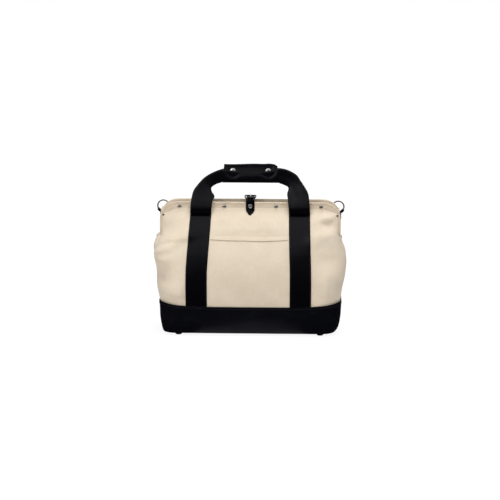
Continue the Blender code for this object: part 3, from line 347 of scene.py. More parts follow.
canvas, wire = finish("cotton duck", Roughness=0.75, Specular_IOR_Level=0.5, Sheen_Weight=0.16,
                      Sheen_Roughness=0.6)
cloth = coordinates(wire, "UV")
weave = plain_weave(cloth)
weft = cloth.scaled(0.05, 1.1).noise(1.0, 3.0)
warp = cloth.scaled(1.1, 0.05).noise(1.0, 3.0)
patches = cloth.noise(0.018, 4.0, 0.6)
tone = (weft * 0.35 + warp * 0.35 + patches * 0.5 + weave * 0.03).step(0.38, 0.82)
feed(canvas, Base_Color=(1 - tone).mix(CREAM, CREAM_DEEP),
     Normal=(weave * 0.5 + weft * 0.9 + warp * 0.9).bump(0.00016, 0.55))
print("canvas: a thread every", THREAD, "mm")

# %% [markdown]
# ## Rim canvas
#
# The canvas of the rim is turned over the steel and sewn double. It is duller than the rest, and its colour
# is painted darker to stand for the shade on the band's upright face. The stitches pull it into small
# puckers, whose hollows are painted darker too.

# %% Rim canvas
band_canvas, wire = finish("rim canvas", Roughness=0.9, Specular_IOR_Level=0.12, Sheen_Weight=0.12,
                           Sheen_Roughness=0.6)
cloth = coordinates(wire, "UV")
# Painted shade: both creams are darker than the body's, for the shade on the band's upright face.
BAND_SHADED_CREAM, BAND_SHADED_DEEP = (0.76, 0.650, 0.515), (0.65, 0.540, 0.405)
weave = plain_weave(cloth)
pucker_and_shade = cloth.scaled(0.22, 0.06).noise(1.0, 2.0)
patches = cloth.noise(0.03, 4.0, 0.6)
# The noise that raises the puckers also darkens the colour where they sink: painted shade in their hollows.
feed(band_canvas, Base_Color=(patches * 0.6 + pucker_and_shade * 0.4).step(0.3, 0.75).mix(BAND_SHADED_DEEP, BAND_SHADED_CREAM),
     Normal=(weave * 0.25 + pucker_and_shade * 4.0).bump(0.0003, 0.6))
print("rim canvas:", len(band_canvas.node_tree.nodes), "nodes")

# %% [markdown]
# ## Black webbing
#
# Strong webbing is woven with close ribs across its length, and fine yarns run along it. Both are
# sine waves in the bump. Random patches of wear and the tops of the ribs are a little paler than the deep
# black of the dye.

# %% Black webbing
webbing, wire = finish("ribbed webbing", Roughness=0.32, Specular_IOR_Level=0.17)
cloth = coordinates(wire, "UV")
RIB, YARN = 1.7, 1.25  # from one rib, and one yarn, to the next, in millimetres
ribs = (cloth.axis("Y") * (2 * pi / RIB)).sine()
yarns = (cloth.axis("X") * (2 * pi / YARN)).sine()
fuzz = cloth.scaled(0.9, 0.5).noise(1.0, 3.0)
wear = (cloth.noise(0.05, 3.0) * 0.7 + fuzz * 0.3).step(0.45, 0.8)
# Paler in random patches of wear and on the raised tops of the ribs.
worn_and_rib_tops = (wear * 0.6 + ribs * 0.2).step(0, 1)
feed(webbing, Base_Color=worn_and_rib_tops.mix((0.0007, 0.0007, 0.0018), (0.0030, 0.0030, 0.0062)),
     Normal=(ribs * 0.6 + yarns * 0.25 + fuzz * 0.4).bump(0.00012, 0.4))
print("webbing: a rib every", RIB, "mm")

# %% [markdown]
# ## Boot skin
#
# The boot is a moulded skin with a soft sheen and a fine grain. Scuffs change its gloss more than
# its colour, so the same noise feeds roughness, colour and bump.

# %% Boot skin
boot_skin, wire = finish("moulded boot skin", Specular_IOR_Level=0.17, IOR=1.45)
skin = coordinates(wire, "Object")
grain = skin.noise(0.75, 3.0, 0.6)
scuffs = skin.scaled(0.35, 1.0, 1.0).noise(0.06, 4.0, 0.65)
feed(boot_skin, Base_Color=scuffs.step(0.5, 0.85).mix((0.0020, 0.0022, 0.0048), (0.0050, 0.0054, 0.0100)),
     Roughness=0.26 + scuffs * 0.25,
     Normal=(grain + scuffs * 2.0).bump(0.0003, 0.45))
print("boot skin:", len(boot_skin.node_tree.nodes), "nodes")

# %% [markdown]
# ## Leather
#
# Grip and straps are black leather. Its pebbles are the rounded cells of a Voronoi pattern, and
# its creases a noise that is drawn out along the piece.

# %% Grip and strap leather
leather, wire = finish("black leather", Specular_IOR_Level=0.12)
skin = coordinates(wire, "Object")
pebbles = skin.node("ShaderNodeTexVoronoi", {"feature": "SMOOTH_F1"}, {"Vector": skin, "Scale": 0.55},
                    "Distance")
creases = skin.scaled(1.0, 1.0, 0.4).noise(0.22, 4.0, 0.6)
feed(leather, Base_Color=creases.step(0.45, 0.8).mix((0.0008, 0.0008, 0.0018), (0.0032, 0.0032, 0.0056)),
     Roughness=0.28 + creases * 0.24,
     Normal=(pebbles * 0.4 + creases * 1.6).bump(0.0003, 0.35))
print("leather:", len(leather.node_tree.nodes), "nodes")

# %% [markdown]
# ## Metals
#
# Rivets and snaps are nickel plated, the rings are darkened steel, the buckle is blacked, and the
# bars in the rim are plain steel. They differ only in colour and gloss, so one function makes all.

# %% Metals
def metal(name, low, high, roughness):
    made, start = finish(name, Metallic=1.0)
    spots = coordinates(start, "Object")
    stain = spots.noise(0.35, 4.0, 0.6)
    feed(made, Base_Color=stain.step(0.35, 0.75).mix(low, high),
         Roughness=roughness + stain * 0.1,
         Normal=spots.noise(1.6, 2.0).bump(0.00005, 0.4))
    return made


nickel = metal("bright nickel", (0.46, 0.455, 0.445), (0.64, 0.635, 0.62), 0.30)
dark_steel = metal("antique steel", (0.12, 0.11, 0.095), (0.30, 0.28, 0.25), 0.22)
black_steel = metal("blacked steel", (0.015, 0.014, 0.013), (0.05, 0.048, 0.045), 0.35)
mill_steel = metal("mill steel", (0.32, 0.32, 0.33), (0.52, 0.52, 0.53), 0.34)
print("metals:", [made.name for made in (nickel, dark_steel, black_steel, mill_steel)])

# %% [markdown]
# ## Threads
#
# The pocket is sewn in tan, the rim in cream, and the webs and boot in black. A stitch is too small
# to show its plies, so a little noise in the colour stands for them.

# %% Threads
def thread_finish(name, roughness, gloss, low, high):
    made, wire = finish(name, Roughness=roughness, Specular_IOR_Level=gloss)
    ply = coordinates(wire, "Object").noise(1.4, 2.0)
    feed(made, Base_Color=ply.step(0.3, 0.7).mix(low, high))
    return made


tan_thread = thread_finish("tan thread", 0.85, 0.15, (0.30, 0.20, 0.115), (0.46, 0.33, 0.21))
black_thread = thread_finish("black thread", 0.6, 0.2, (0.010, 0.010, 0.014), (0.030, 0.030, 0.038))
cream_thread = thread_finish("cream thread", 0.85, 0.15, (0.60, 0.51, 0.39), (0.72, 0.63, 0.50))
print("threads:", [made.name for made in (tan_thread, black_thread, cream_thread)])

# %% [markdown]
# ## Rubber and board
#
# The feet are black rubber, dull and dusty. The board in the bag is pressed from fibres, so its
# noise is drawn out along the board.

# %% Rubber and board
rubber, wire = finish("black rubber", Specular_IOR_Level=0.25)
skin = coordinates(wire, "Object")
dust = skin.noise(0.5, 3.0)
feed(rubber, Base_Color=dust.step(0.45, 0.8).mix((0.006, 0.006, 0.007), (0.016, 0.016, 0.017)),
     Roughness=0.55 + dust * 0.25, Normal=skin.noise(1.3, 2.0).bump(0.0002, 0.4))

fibreboard, wire = finish("pressed fibreboard", Roughness=0.82, Specular_IOR_Level=0.2)
skin = coordinates(wire, "Object")
fibres = skin.scaled(0.25, 1.6, 1.0).noise(0.5, 5.0, 0.65)
feed(fibreboard, Base_Color=fibres.step(0.3, 0.75).mix((0.13, 0.085, 0.05), (0.24, 0.165, 0.10)),
     Normal=fibres.bump(0.0004, 0.4))
print("finishes:", len(bpy.data.materials))

# %% [markdown]
# ## Sizes that the pieces share
#
# The soft pieces follow the solids of the frame, so the script repeats the heights, half lengths
# and half depths that the bag is built from. The two ends of this bag don't hang alike: the left
# one swells high, just under the hinge, and the right one lower down.

# %% Shared sizes
FOOT = 0.006
BOOT_TOP = 0.071
BOOT_RISE = 0.010
LEFT_RISE = 0.0175
BOOT_WALL = 0.0024
PIN = 0.230
RIM = 0.316
RIM_DEPTH = 0.0193
RIM_END = 0.216
RIM_CORNER = 0.040
BAR = 0.014
CLOTH = 0.0016
CREASE = 0.287
WEB = 0.051
WEB_THICK = 0.0026
POCKET_TOP = 0.240
FACES = (("front", 1), ("back", -1))
SIDES = (("left", -1), ("right", 1))
print("rim at", RIM * 1000, "mm, hinge at", PIN * 1000, "mm")

# %% [markdown]
# ## Reading a table with a smooth curve
#
# The cloth's outline was measured in the picture at a few heights. A smooth curve through these
# few numbers gives the outline at any height, and a number can be changed without a kink.

# %% Reading a table
def through(table, place, column=1):
    """Read a table with a smooth curve through its points."""
    places = [row[0] for row in table]
    values = [row[column] for row in table]
    if place <= places[0]:
        return values[0]
    if place >= places[-1]:
        return values[-1]
    i = max(k for k in range(len(places) - 1) if places[k] <= place)
    span = places[i + 1] - places[i]
    part = (place - places[i]) / span

    def slope(k):
        low, high = max(k - 1, 0), min(k + 1, len(places) - 1)
        return (values[high] - values[low]) / (places[high] - places[low]) * span

    a, b = values[i], values[i + 1]
    square, cube = part * part, part ** 3
    return (a * (2 * cube - 3 * square + 1) + slope(i) * (cube - 2 * square + part)
            + b * (3 * square - 2 * cube) + slope(i + 1) * (cube - square))


def ease(value, start, end):
    """0 before start, 1 after end, and smooth between."""
    part = min(1, max(0, (value - start) / (end - start)))
    return part * part * (3 - 2 * part)


print("half way up an ease:", ease(0.5, 0, 1))

# %% [markdown]
# ## The bag's outline
#
# Seen from the front the ends bulge, and seen from the side the cloth leans in from the boot to
# the rim. One table holds each outline. The boot's top edge climbs towards the ends, more to the
# left, and the cloth above it follows less and less up to the fold line of the mouth.

# %% Outline of the cloth
# height, half length of the cloth on the left, half length on the right
END_TABLE = ((0.045, 0.2130, 0.2150), (0.071, 0.2172, 0.2185), (0.0965, 0.2222, 0.2215),
             (0.113, 0.2240, 0.2245), (0.132, 0.2250, 0.2284), (0.149, 0.2262, 0.2302),
             (0.165, 0.2282, 0.2313), (0.183, 0.2305, 0.2300), (0.200, 0.2312, 0.2266),
             (0.2166, 0.2302, 0.2228), (0.230, 0.2256, 0.2200), (0.245, 0.2208, 0.2182),
             (0.270, 0.2180, 0.2165), (0.320, 0.2160, 0.2160))
# height, half depth of the cloth in the middle
DEPTH_TABLE = ((0.045, 0.0838), (0.071, 0.0853), (0.090, 0.0855), (0.115, 0.0853), (0.150, 0.0816),
               (0.191, 0.0729), (0.214, 0.0651), (0.230, 0.0583), (0.250, 0.0495), (0.268, 0.0390),
               (0.279, 0.0308), (0.287, 0.0250), (0.2925, 0.0218), (0.298, 0.0203), (0.3015, 0.0197),
               (0.305, 0.0184), (0.316, 0.0176))
PLAN_CORNER = 0.0573
RISE_REACH = 0.2195  # how far out the boot's edge reaches its full rise
RISE_FADE = (0.222, 0.151)  # height at which the cloth follows no more, and the height that it takes


def end_length(z, side):
    return through(END_TABLE, z, 1 if side < 0 else 2)


def middle_depth(z):
    return through(DEPTH_TABLE, z)


def corner_radius(z):
    return PLAN_CORNER - 0.012 * ease(z, 0.19, 0.23)


def rim_top(x):
    """Height of the mouth frame's outer edge, round its corners."""
    past = abs(x) - (RIM_END - RIM_CORNER)
    if past <= 0:
        return RIM
    return RIM - RIM_CORNER + sqrt(max(0, RIM_CORNER ** 2 - past ** 2))


def boot_rise(x, z):
    """The boot's top edge climbs towards the ends, and the cloth above it follows."""
    if z <= BOOT_TOP:
        fade = max(0, min(1, (z - FOOT) / (BOOT_TOP - FOOT))) ** 2
    else:
        fade = max(0, (RISE_FADE[0] - z) / RISE_FADE[1])
    if x < 0:
        return LEFT_RISE * fade * (-x / RISE_REACH) ** 2.4
    return BOOT_RISE * fade * (x / RISE_REACH) ** 4


print("cloth depth at the boot, fold and rim in mm:",
      [round(middle_depth(z) * 1000, 1) for z in (0.071, 0.222, 0.3)])

# %% [markdown]
# ## Meshes from rows of points
#
# Cloth, straps and skins are all rows of points with faces between them. The helper also lays a
# UV map in metres, so that a weave runs true along and across the piece. An unwrap would cut the
# piece into islands and turn the weave in each.

# %% Rows of points
def add_object(name, mesh, material):
    mesh.materials.append(material)
    mesh.shade_smooth()
    made = bpy.data.objects.new(name, mesh)
    bpy.context.scene.collection.objects.link(made)
    return made


def rows_mesh(name, rows, closed=False, caps=False, flip=False):
    """Faces between rows of points, with the piece's width and length.

    closed joins each row's ends, and caps closes the first and last row."""
    shape = bmesh.new()
    made = [[shape.verts.new(point) for point in row] for row in rows]
    layer = shape.loops.layers.uv.new("cloth")
    points = np.array([[tuple(point) for point in row] for row in rows], float)
    count = points.shape[1]
    step_u = np.linalg.norm(np.diff(points, axis=1), axis=2)
    u = np.concatenate([np.zeros((len(rows), 1)), np.cumsum(step_u, axis=1)], axis=1)
    u -= u[:, [count // 2]]
    step_v = np.linalg.norm(np.diff(points, axis=0), axis=2)
    v = np.concatenate([np.zeros((1, count)), np.cumsum(step_v, axis=0)])
    last = float(np.linalg.norm(points[0, 0] - points[0, -1]))
    for i in range(len(rows) - 1):
        for j in range(count if closed else count - 1):
            k = (j + 1) % count
            corners = [(i, j), (i, k), (i + 1, k), (i + 1, j)]
            if flip:
                corners = corners[::-1]
            face = shape.faces.new([made[a][b] for a, b in corners])
            for loop, (a, b) in zip(face.loops, corners):
                past = closed and j == count - 1 and b == 0
                loop[layer].uv = (u[a, -1] + last if past else u[a, b], v[a, b])
    if caps:
        for row, turn in ((made[0], not flip), (made[-1], flip)):
            face = shape.faces.new(row[::-1] if turn else row)
            for loop in face.loops:
                loop[layer].uv = (loop.vert.co.x, loop.vert.co.z)
    mesh = bpy.data.meshes.new(name)
    shape.to_mesh(mesh)
    shape.free()
    return mesh, (float(u.max() - u.min()), float(v.max()))


print("meshes before the first piece:", len(bpy.data.meshes))

# %% [markdown]
# ## Thickness and edges
#
# Canvas is drawn as one surface and gets its thickness from a modifier, so that it stays a single
# sheet that can be measured. A subdivision rounds its folds. Metal and leather keep sharp edges
# where two faces meet at more than a given angle.

# %% Thickness and edges
def thicken(made, thickness):
    """Give a sheet its real thickness, inwards from the surface that shows."""
    solid = made.modifiers.new("thickness", "SOLIDIFY")
    solid.thickness = thickness
    solid.offset = -1.0
    solid.use_even_offset = False
    return made


def smooth(made, levels=1):
    subdivide = made.modifiers.new("smooth", "SUBSURF")
    subdivide.levels = levels
    subdivide.render_levels = levels
    return made


def keep_sharp(made, angle=40):
    made.data.set_sharp_from_angle(angle=radians(angle))
    return made


print("canvas is", CLOTH * 1000, "mm thick")

# %% [markdown]
# ## Turned pieces and wire
#
# Rivets, snaps and feet are round, as from a lathe: a profile is turned about an axis. Rings and
# buckle are bent wire: a circle is drawn along a line, and each ring of points takes its direction
# from the one before, so that the wire doesn't twist.

# %% Turned pieces and wire
def turned(name, profile, place, axis, material, steps=40):
    """Turn (radius, distance along the axis) pairs about an axis through a place."""
    along = Vector(axis).normalized()
    side = along.orthogonal().normalized()
    other = along.cross(side)
    rows = []
    for radius, distance in profile:
        centre = Vector(place) + along * distance
        rows.append([centre + (side * cos(t) + other * sin(t)) * radius
                     for t in (2 * pi * i / steps for i in range(steps))])
    mesh, _ = rows_mesh(name, rows, closed=True, caps=True)
    return keep_sharp(add_object(name, mesh, material), 50)


def tube_rows(points, radius, sides=10, closed=False):
    """Rings of a round wire through points, without twist."""
    points = [Vector(point) for point in points]
    count = len(points)
    rows = []
    guide = None
    for i, point in enumerate(points):
        before = points[(i - 1) % count] if closed or i else points[0]
        after = points[(i + 1) % count] if closed or i < count - 1 else points[-1]
        run = (after - before).normalized()
        guide = run.orthogonal() if guide is None else guide - run * guide.dot(run)
        guide.normalize()
        other = run.cross(guide)
        rows.append([point + (guide * cos(t) + other * sin(t)) * radius
                     for t in (2 * pi * k / sides for k in range(sides))])
    return rows + [rows[0]] if closed else rows


def tube(name, points, radius, material, sides=12, closed=False):
    rows = tube_rows(points, radius, sides, closed)
    mesh, _ = rows_mesh(name, rows, closed=True, caps=not closed)
    if closed:
        shape = bmesh.new()
        shape.from_mesh(mesh)
        bmesh.ops.remove_doubles(shape, verts=shape.verts, dist=1e-6)
        shape.to_mesh(mesh)
        shape.free()
    return add_object(name, mesh, material)


print("rings of a wire through 3 points:", len(tube_rows([(0, 0, 0), (0, 0, 1), (0, 0, 2)], 1)))

# %% [markdown]
# ## Smooth lines
#
# A strap or a wire is known at a few places. A curve through them, read at even distances, gives
# faces of even size, and the weave and the stitches on them keep their pitch.

# %% Smooth lines
def spread(points, count):
    """The same line of points, read at even distances."""
    line = np.array([tuple(point) for point in points], float)
    run = np.concatenate([[0], np.cumsum(np.linalg.norm(np.diff(line, axis=0), axis=1))])
    at = np.linspace(0, run[-1], count)
    return [tuple(np.interp(at, run, line[:, k])[i] for k in range(line.shape[1])) for i in range(count)]


def curve_through(points, count):
    """A smooth line through points, read at even distances."""
    points = [Vector(point) for point in points]
    dense = []
    for i in range(len(points) - 1):
        a, b = points[i], points[i + 1]
        before = points[max(0, i - 1)]
        after = points[min(len(points) - 1, i + 2)]
        dense += interpolate_bezier(a, a + (b - before) / 6, b - (after - a) / 6, b, 12)[:-1]
    return spread(dense + [points[-1]], count)


print("middle of a curve:", curve_through([(0, 0, 0), (1, 0, 0), (2, 0, 0)], 3)[1])

# %% [markdown]
# ## Stitches
#
# A stitch is a short thread that rises out of the cloth and goes back in. A painted dash would
# look flat from the side, so each is a small six sided spindle. All stitches of a seam are one
# mesh, spaced evenly along the seam's line.

# %% Stitches
PITCH = 0.0034  # from one stitch to the next


def stitches(name, lines, thread, pitch=PITCH, length=0.0024, radius=0.00042):
    """Rows of small stitches. Each line is a list of (point, outward direction) pairs."""
    shape = bmesh.new()
    count = 0
    for line in lines:
        points = np.array([tuple(point) for point, _ in line], float)
        outs = np.array([tuple(out) for _, out in line], float)
        run = np.concatenate([[0], np.cumsum(np.linalg.norm(np.diff(points, axis=0), axis=1))])
        total = int(run[-1] / pitch)
        for k in range(total):
            middle = (k + 0.5) * run[-1] / total
            ends = []
            for at in (middle - length / 2, middle, middle + length / 2):
                ends.append((Vector([np.interp(at, run, points[:, c]) for c in range(3)]),
                             Vector([np.interp(at, run, outs[:, c]) for c in range(3)]).normalized()))
            along = (ends[2][0] - ends[0][0]).normalized()
            rings = []
            for (point, out), rise, width in zip(ends, (-0.3, 0.55, -0.3), (0.55, 1.0, 0.55)):
                side = along.cross(out)
                centre = point + out * radius * rise
                rings.append([shape.verts.new(centre + (side * cos(t) + out * sin(t)) * radius * width)
                              for t in (2 * pi * i / 6 for i in range(6))])
            for low, high in zip(rings, rings[1:]):
                for i in range(6):
                    shape.faces.new((low[i], low[(i + 1) % 6], high[(i + 1) % 6], high[i]))
            shape.faces.new(rings[0][::-1])
            shape.faces.new(rings[-1])
            count += 1
    bmesh.ops.recalc_face_normals(shape, faces=shape.faces)
    mesh = bpy.data.meshes.new(name)
    shape.to_mesh(mesh)
    shape.free()
    print(name, "stitches:", count)
    return add_object(name, mesh, thread)


print("a stitch every", PITCH * 1000, "mm")

# %% [markdown]
# ## The canvas body
#
# One sheet of duck makes the front and one the back. Each stands up out of the boot, leans in
# above the pocket and is sewn round the mouth frame. Such cloth can be simulated, but this canvas
# is stiff and its form is known, so its points are placed by rule and its folds pressed in one by
# one. A fold swells along a line and drops away under it, and a hollow sinks round a place.

# %% Folds and hollows
def fold(u, z, at_u, at_z, reach, above, below, slope, height, arch=0.0):
    """A fold along a line, which swells from above the line and drops away below it."""
    line = at_z + slope * (u - at_u) - arch * (u - at_u) ** 2
    t = (z - line) / (above if z > line else below)
    return height * exp(-t * t) * exp(-((u - at_u) / reach) ** 2)


def hollow(u, z, at_u, at_z, reach, rise, depth):
    return -depth * exp(-((u - at_u) / reach) ** 2 - ((z - at_z) / rise) ** 2)


print("on its line a fold stands its whole height:", fold(0, 0.2, 0, 0.2, 1, 1, 1, 0, 1))

# %% [markdown]
# ## The folds of this bag
#
# On the left of the front, four folds stand out and one sinks in, all running in from the end, and
# the topmost is at the height of the hinge. On the right one high fold arches over a hollow. The
# back isn't in the picture, and gets fewer and softer ones. Soft noise adds the small waves that
# any cloth has, and everything fades out into the boot and the rim.

# %% Folds of the front and back
def folds(u, z, front):
    """How far the cloth stands out of its plain shape, u being how far along the cloth it is."""
    fade = ease(z, 0.075, 0.10) * (1 - ease(z, 0.280, 0.296))
    wave = noise.noise(Vector((u * 14, z * 10 + front * 7, 1.3))) * 0.0012
    wave += noise.noise(Vector((u * 34, z * 22, 4.1 + front))) * 0.0005
    sharp = 0
    if front > 0:
        sharp += fold(u, z, -0.190, 0.2300, 0.038, 0.017, 0.010, 0.18, 0.0160)
        sharp += fold(u, z, -0.202, 0.2085, 0.034, 0.009, 0.013, 0.38, 0.0128)
        sharp += fold(u, z, -0.212, 0.1785, 0.028, 0.013, 0.016, 0.10, 0.0088)
        sharp += fold(u, z, -0.224, 0.1300, 0.025, 0.034, 0.012, 0.00, -0.0072)
        sharp += fold(u, z, -0.186, 0.0930, 0.030, 0.034, 0.020, 0.10, 0.0086)
        sharp += fold(u, z, 0.188, 0.2400, 0.036, 0.012, 0.026, -0.06, 0.0210, 4.0)
        sharp += hollow(u, z, 0.192, 0.1790, 0.034, 0.028, 0.0084)
        sharp += fold(u, z, 0.186, 0.2800, 0.018, 0.009, 0.010, 0.10, 0.0080)
        sharp += hollow(u, z, 0.188, 0.2640, 0.016, 0.008, 0.0034)
        sharp += fold(u, z, 0.184, 0.1100, 0.010, 0.060, 0.060, 1.5, 0.0030)
        sharp += hollow(u, z, 0.0, 0.2440, 0.080, 0.007, 0.0016)
    else:
        sharp += fold(u, z, -0.198, 0.2180, 0.030, 0.022, 0.014, 0.12, 0.0070)
        sharp += hollow(u, z, -0.205, 0.1840, 0.024, 0.022, 0.0056)
        sharp += fold(u, z, 0.202, 0.2140, 0.028, 0.022, 0.014, -0.14, 0.0074)
        sharp += hollow(u, z, 0.208, 0.1500, 0.020, 0.028, 0.0060)
        sharp += fold(u, z, 0.0, 0.180, 0.080, 0.040, 0.050, 0.03, 0.0034)
    return (wave + sharp) * fade


highest = max(folds(-0.19, 0.2 + i / 1000, 1) for i in range(50))
print("highest fold on the left in mm:", round(highest * 1000, 1))

# %% [markdown]
# ## From the flat of the cloth round its corners
#
# The same rule places the webbing and the pocket, so that they lie on the cloth. Below the hinge
# the cloth goes round a wide corner. Above it the cloth narrows to its seam beside the legs of
# the steel frame, and the two forms are blended by height.

# %% Places on the cloth
UPPER_DEPTH = 0.0184  # half depth of the cloth at its seam along the legs of the frame
LEG_ROLL = 0.2125  # how far out the cloth stands in front of a leg
END_SEAM = 0.2135  # how far out the seam lies above the hinge
WRAP = radians(80)  # how far the front and back sheets run round the corner


def to_leg(z):
    return ease(z, 0.190, 0.246)


def upper_depth(x, z):
    """Half depth of the upper cloth, which rolls back to its seam beside the legs."""
    share = max(0, 1 - min(1, abs(x) / LEG_ROLL) ** 9) ** (1 / 3)
    roll = 0.0040 * (1 - ease(z, 0.268, 0.296)) * ease(abs(x), 0.17, 0.20)
    wide = 1 - 0.72 * ease(abs(x), 0.150, 0.202)
    return UPPER_DEPTH + (max(0, middle_depth(z) - UPPER_DEPTH) * wide + roll) * share


def cloth_depth(x, z, front):
    """Half depth of the cloth's outside at a place along the bag."""
    side = -1 if x < 0 else 1
    middle = middle_depth(z)
    corner = min(corner_radius(z), middle)
    past = min(corner, max(0, abs(x) - (end_length(z, side) - corner)))
    low = middle - corner + sqrt(corner ** 2 - past ** 2)
    return low + (upper_depth(x, z) - low) * to_leg(z) + folds(x, z, front)


def cloth_point(x, z, front, stand=0.0):
    return (x, -(cloth_depth(x, z, front) + stand) * front, z + boot_rise(x, z))


def corner_point(t, z, side, front):
    """A point of the cloth round the corner, t being the angle that it has turned."""
    length, middle = end_length(z, side), middle_depth(z)
    corner = min(corner_radius(z), middle)
    start = length - corner
    low_x, low_y = start + corner * sin(t), middle - corner + corner * cos(t)
    high_x = start + (END_SEAM - start) * sin(t) / sin(WRAP)
    high_y = upper_depth(high_x, z)
    part = to_leg(z)
    out = folds((start + corner * t) * side, z, front)
    x = low_x + (high_x - low_x) * part + out * sin(t) * (1 - part)
    y = low_y + (high_y - low_y) * part + out * (cos(t) * (1 - part) + part)
    return (x * side, -y * front, z + boot_rise(x, z))


print("half depth beside the pocket in mm:", round(cloth_depth(0.15, 0.15, 1) * 1000, 1))

# %% [markdown]
# ## The front and back sheets
#
# A row of points runs from seam to seam at each height, and the rows stand close enough for the
# sharpest fold.

# %% Front and back sheets
def half_row(z, side, front):
    """One half of a row of the front or back sheet, from the middle to the seam."""
    flat = end_length(z, side) - min(corner_radius(z), middle_depth(z))
    row = [cloth_point(side * flat * i / 30, z, front) for i in range(30)]
    return row + [corner_point(WRAP * i / 17, z, side, front) for i in range(18)]


HEIGHTS = [0.047, 0.060, 0.0695, 0.0768] + [0.084 + 0.0034 * i for i in range(67)]
for face, front in FACES:
    rows = []
    for z in HEIGHTS:
        row = half_row(z, -1, front)[:0:-1] + half_row(z, 1, front)
        placed = []
        for x, y, height in row:
            placed.append((x, y, min(height, rim_top(x) - 0.004, RIM - 0.0045)))
        rows.append(placed)
    mesh, size = rows_mesh(face + "_cloth", rows, flip=front < 0)
    made = thicken(add_object(face + "_cloth", mesh, canvas), CLOTH)
    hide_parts(face + "_panel_lower", face + "_panel_upper")
    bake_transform(made)
    print(face, "cloth measures", [round(v, 3) for v in size])

# %% [markdown]
# ## The canvas ends
#
# Each end is one more sheet. It bulges between the boot and the hinge, and above the hinge it
# folds in between the two legs of the frame. Three plan lines, for the bulge, the hinge and the
# fold, are blended by height.

# %% Shape of the ends
FOLD_START = 0.236
FOLD_DONE = 0.264
# (place along X, place along Y) from the leg to the middle, at the hinge and above it
HINGE_SECTION = ((END_SEAM, 0.0193), (0.2180, 0.0175), (0.2203, 0.0120), (0.2212, 0.0060),
                 (0.2216, 0.0))
FOLD_SECTION = ((0.2125, 0.0178), (0.2160, 0.0150), (0.2075, 0.0085), (0.1890, 0.0035),
                (0.1730, 0.0))


def end_line(z, side, count=13):
    """Plan line from the seam to the middle of an end, as (distance from the middle, depth)."""
    length, middle = end_length(z, side), middle_depth(z)
    corner = min(corner_radius(z), middle)
    low = [(length - corner + corner * sin(t), middle - corner + corner * cos(t))
           for t in (WRAP + (pi / 2 - WRAP) * i / 3 for i in range(4))]
    low += [(length + 0.0015 * i / 4, (middle - corner) * (1 - i / 4)) for i in (1, 2, 3, 4)]
    low = spread(low, count)
    past = max(length, 0.2196) - HINGE_SECTION[-1][0]
    hinge = curve_through([(x + past, y, 0) for x, y in HINGE_SECTION], count)
    hinge[0] = (END_SEAM, hinge[0][1], 0)
    folded = curve_through([(x, y, 0) for x, y in FOLD_SECTION], count)
    to_hinge = to_leg(z)
    to_fold = ease(z, FOLD_START, FOLD_DONE)
    line = []
    for a, b, c in zip(low, hinge, folded):
        x = a[0] + (b[0] - a[0]) * to_hinge
        y = a[1] + (b[1] - a[1]) * to_hinge
        line.append((x + (c[0] - x) * to_fold, y + (c[1] - y) * to_fold))
    return [(x, y - 0.0010 * (i / (count - 1)) ** 3) for i, (x, y) in enumerate(line)]


print("end at the hinge, middle in mm:", round(end_line(PIN, 1)[-1][0] * 1000, 1))

# %% [markdown]
# ## The end sheets
#
# Each end is made in a front and a back half that meet in the middle. The folded part hangs lower
# in its middle, which leaves it the cloth that it needs to span the legs when the mouth is open.

# %% End sheets
DIP = 0.62  # how far the middle of the folded part hangs, as a share of its height


def end_row(z, side, front):
    """One row of an end sheet. Its first points lie under the edge of the front or back sheet."""
    line = end_line(z, side)
    seam = corner_point(WRAP, z, side, front)
    under = CLOTH * 1.1
    offset = (seam[0] * side - line[0][0], -seam[1] * front - line[0][1])
    row = []
    for i, (x, y) in enumerate(line):
        share = (1 - i / (len(line) - 1)) ** 2
        hang = noise.noise(Vector((y * 22 * front, z * 16, side * 3.0))) * 0.0022
        hang += fold(y * front, z, 0.012 * side, 0.205, 0.030, 0.018, 0.010, 0.3 * side, 0.0030)
        hang *= (1 - share) * ease(z, 0.08, 0.11) * (1 - ease(z, 0.215, FOLD_START))
        x += offset[0] * share + hang - under * exp(-(i / 1.2) ** 2)
        row.append((x * side, -(y + offset[1] * share) * front, z + boot_rise(x, z)))
    past = corner_point(WRAP - 0.12, z, side, front)
    first = (past[0] - under * side, past[1] + under * 0.3 * front, past[2])
    return [first] + row


def dipped(row):
    """A row of the folded part, whose middle hangs lower."""
    last = len(row) - 1
    return [(x, y, z - DIP * (z - FOLD_START) * ease(i / last, 0.10, 0.95))
            for i, (x, y, z) in enumerate(row)]


END_HEIGHTS = [z for z in HEIGHTS[:4] + HEIGHTS[4::2] if z < FOLD_START - 0.004] + [FOLD_START]
FOLD_HEIGHTS = [FOLD_START + (0.300 - FOLD_START) * i / 12 for i in range(13)]
for name, side in SIDES:
    for face, front in FACES:
        rows = [end_row(z, side, front) for z in END_HEIGHTS]
        mesh, size = rows_mesh(f"{name}_end_{face}", rows, flip=side * front < 0)
        made = smooth(thicken(add_object(f"{name}_end_{face}", mesh, canvas), CLOTH))
        if front > 0:
            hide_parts(name + "_gusset_lower")
        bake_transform(made)

        rows = [dipped(end_row(z, side, front)[1:]) for z in FOLD_HEIGHTS]
        mesh, fold_size = rows_mesh(f"{name}_fold_{face}", rows, flip=side * front < 0)
        made = smooth(thicken(add_object(f"{name}_fold_{face}", mesh, canvas), CLOTH))
        if front > 0:
            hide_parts(name + "_gusset_fold")
        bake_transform(made)
    print(name, "end and fold measure", [round(v, 3) for v in size + fold_size])

# %% [markdown]
# ## The rim
#
# The top of each sheet is turned over a flat steel bar and sewn down, which makes a firm band
# with a rolled edge. The band is drawn as one closed section that runs up one leg, round the
# corners and down the other, with the bar inside it.

# %% Line of the rim
LEG_FOOT = 0.2385


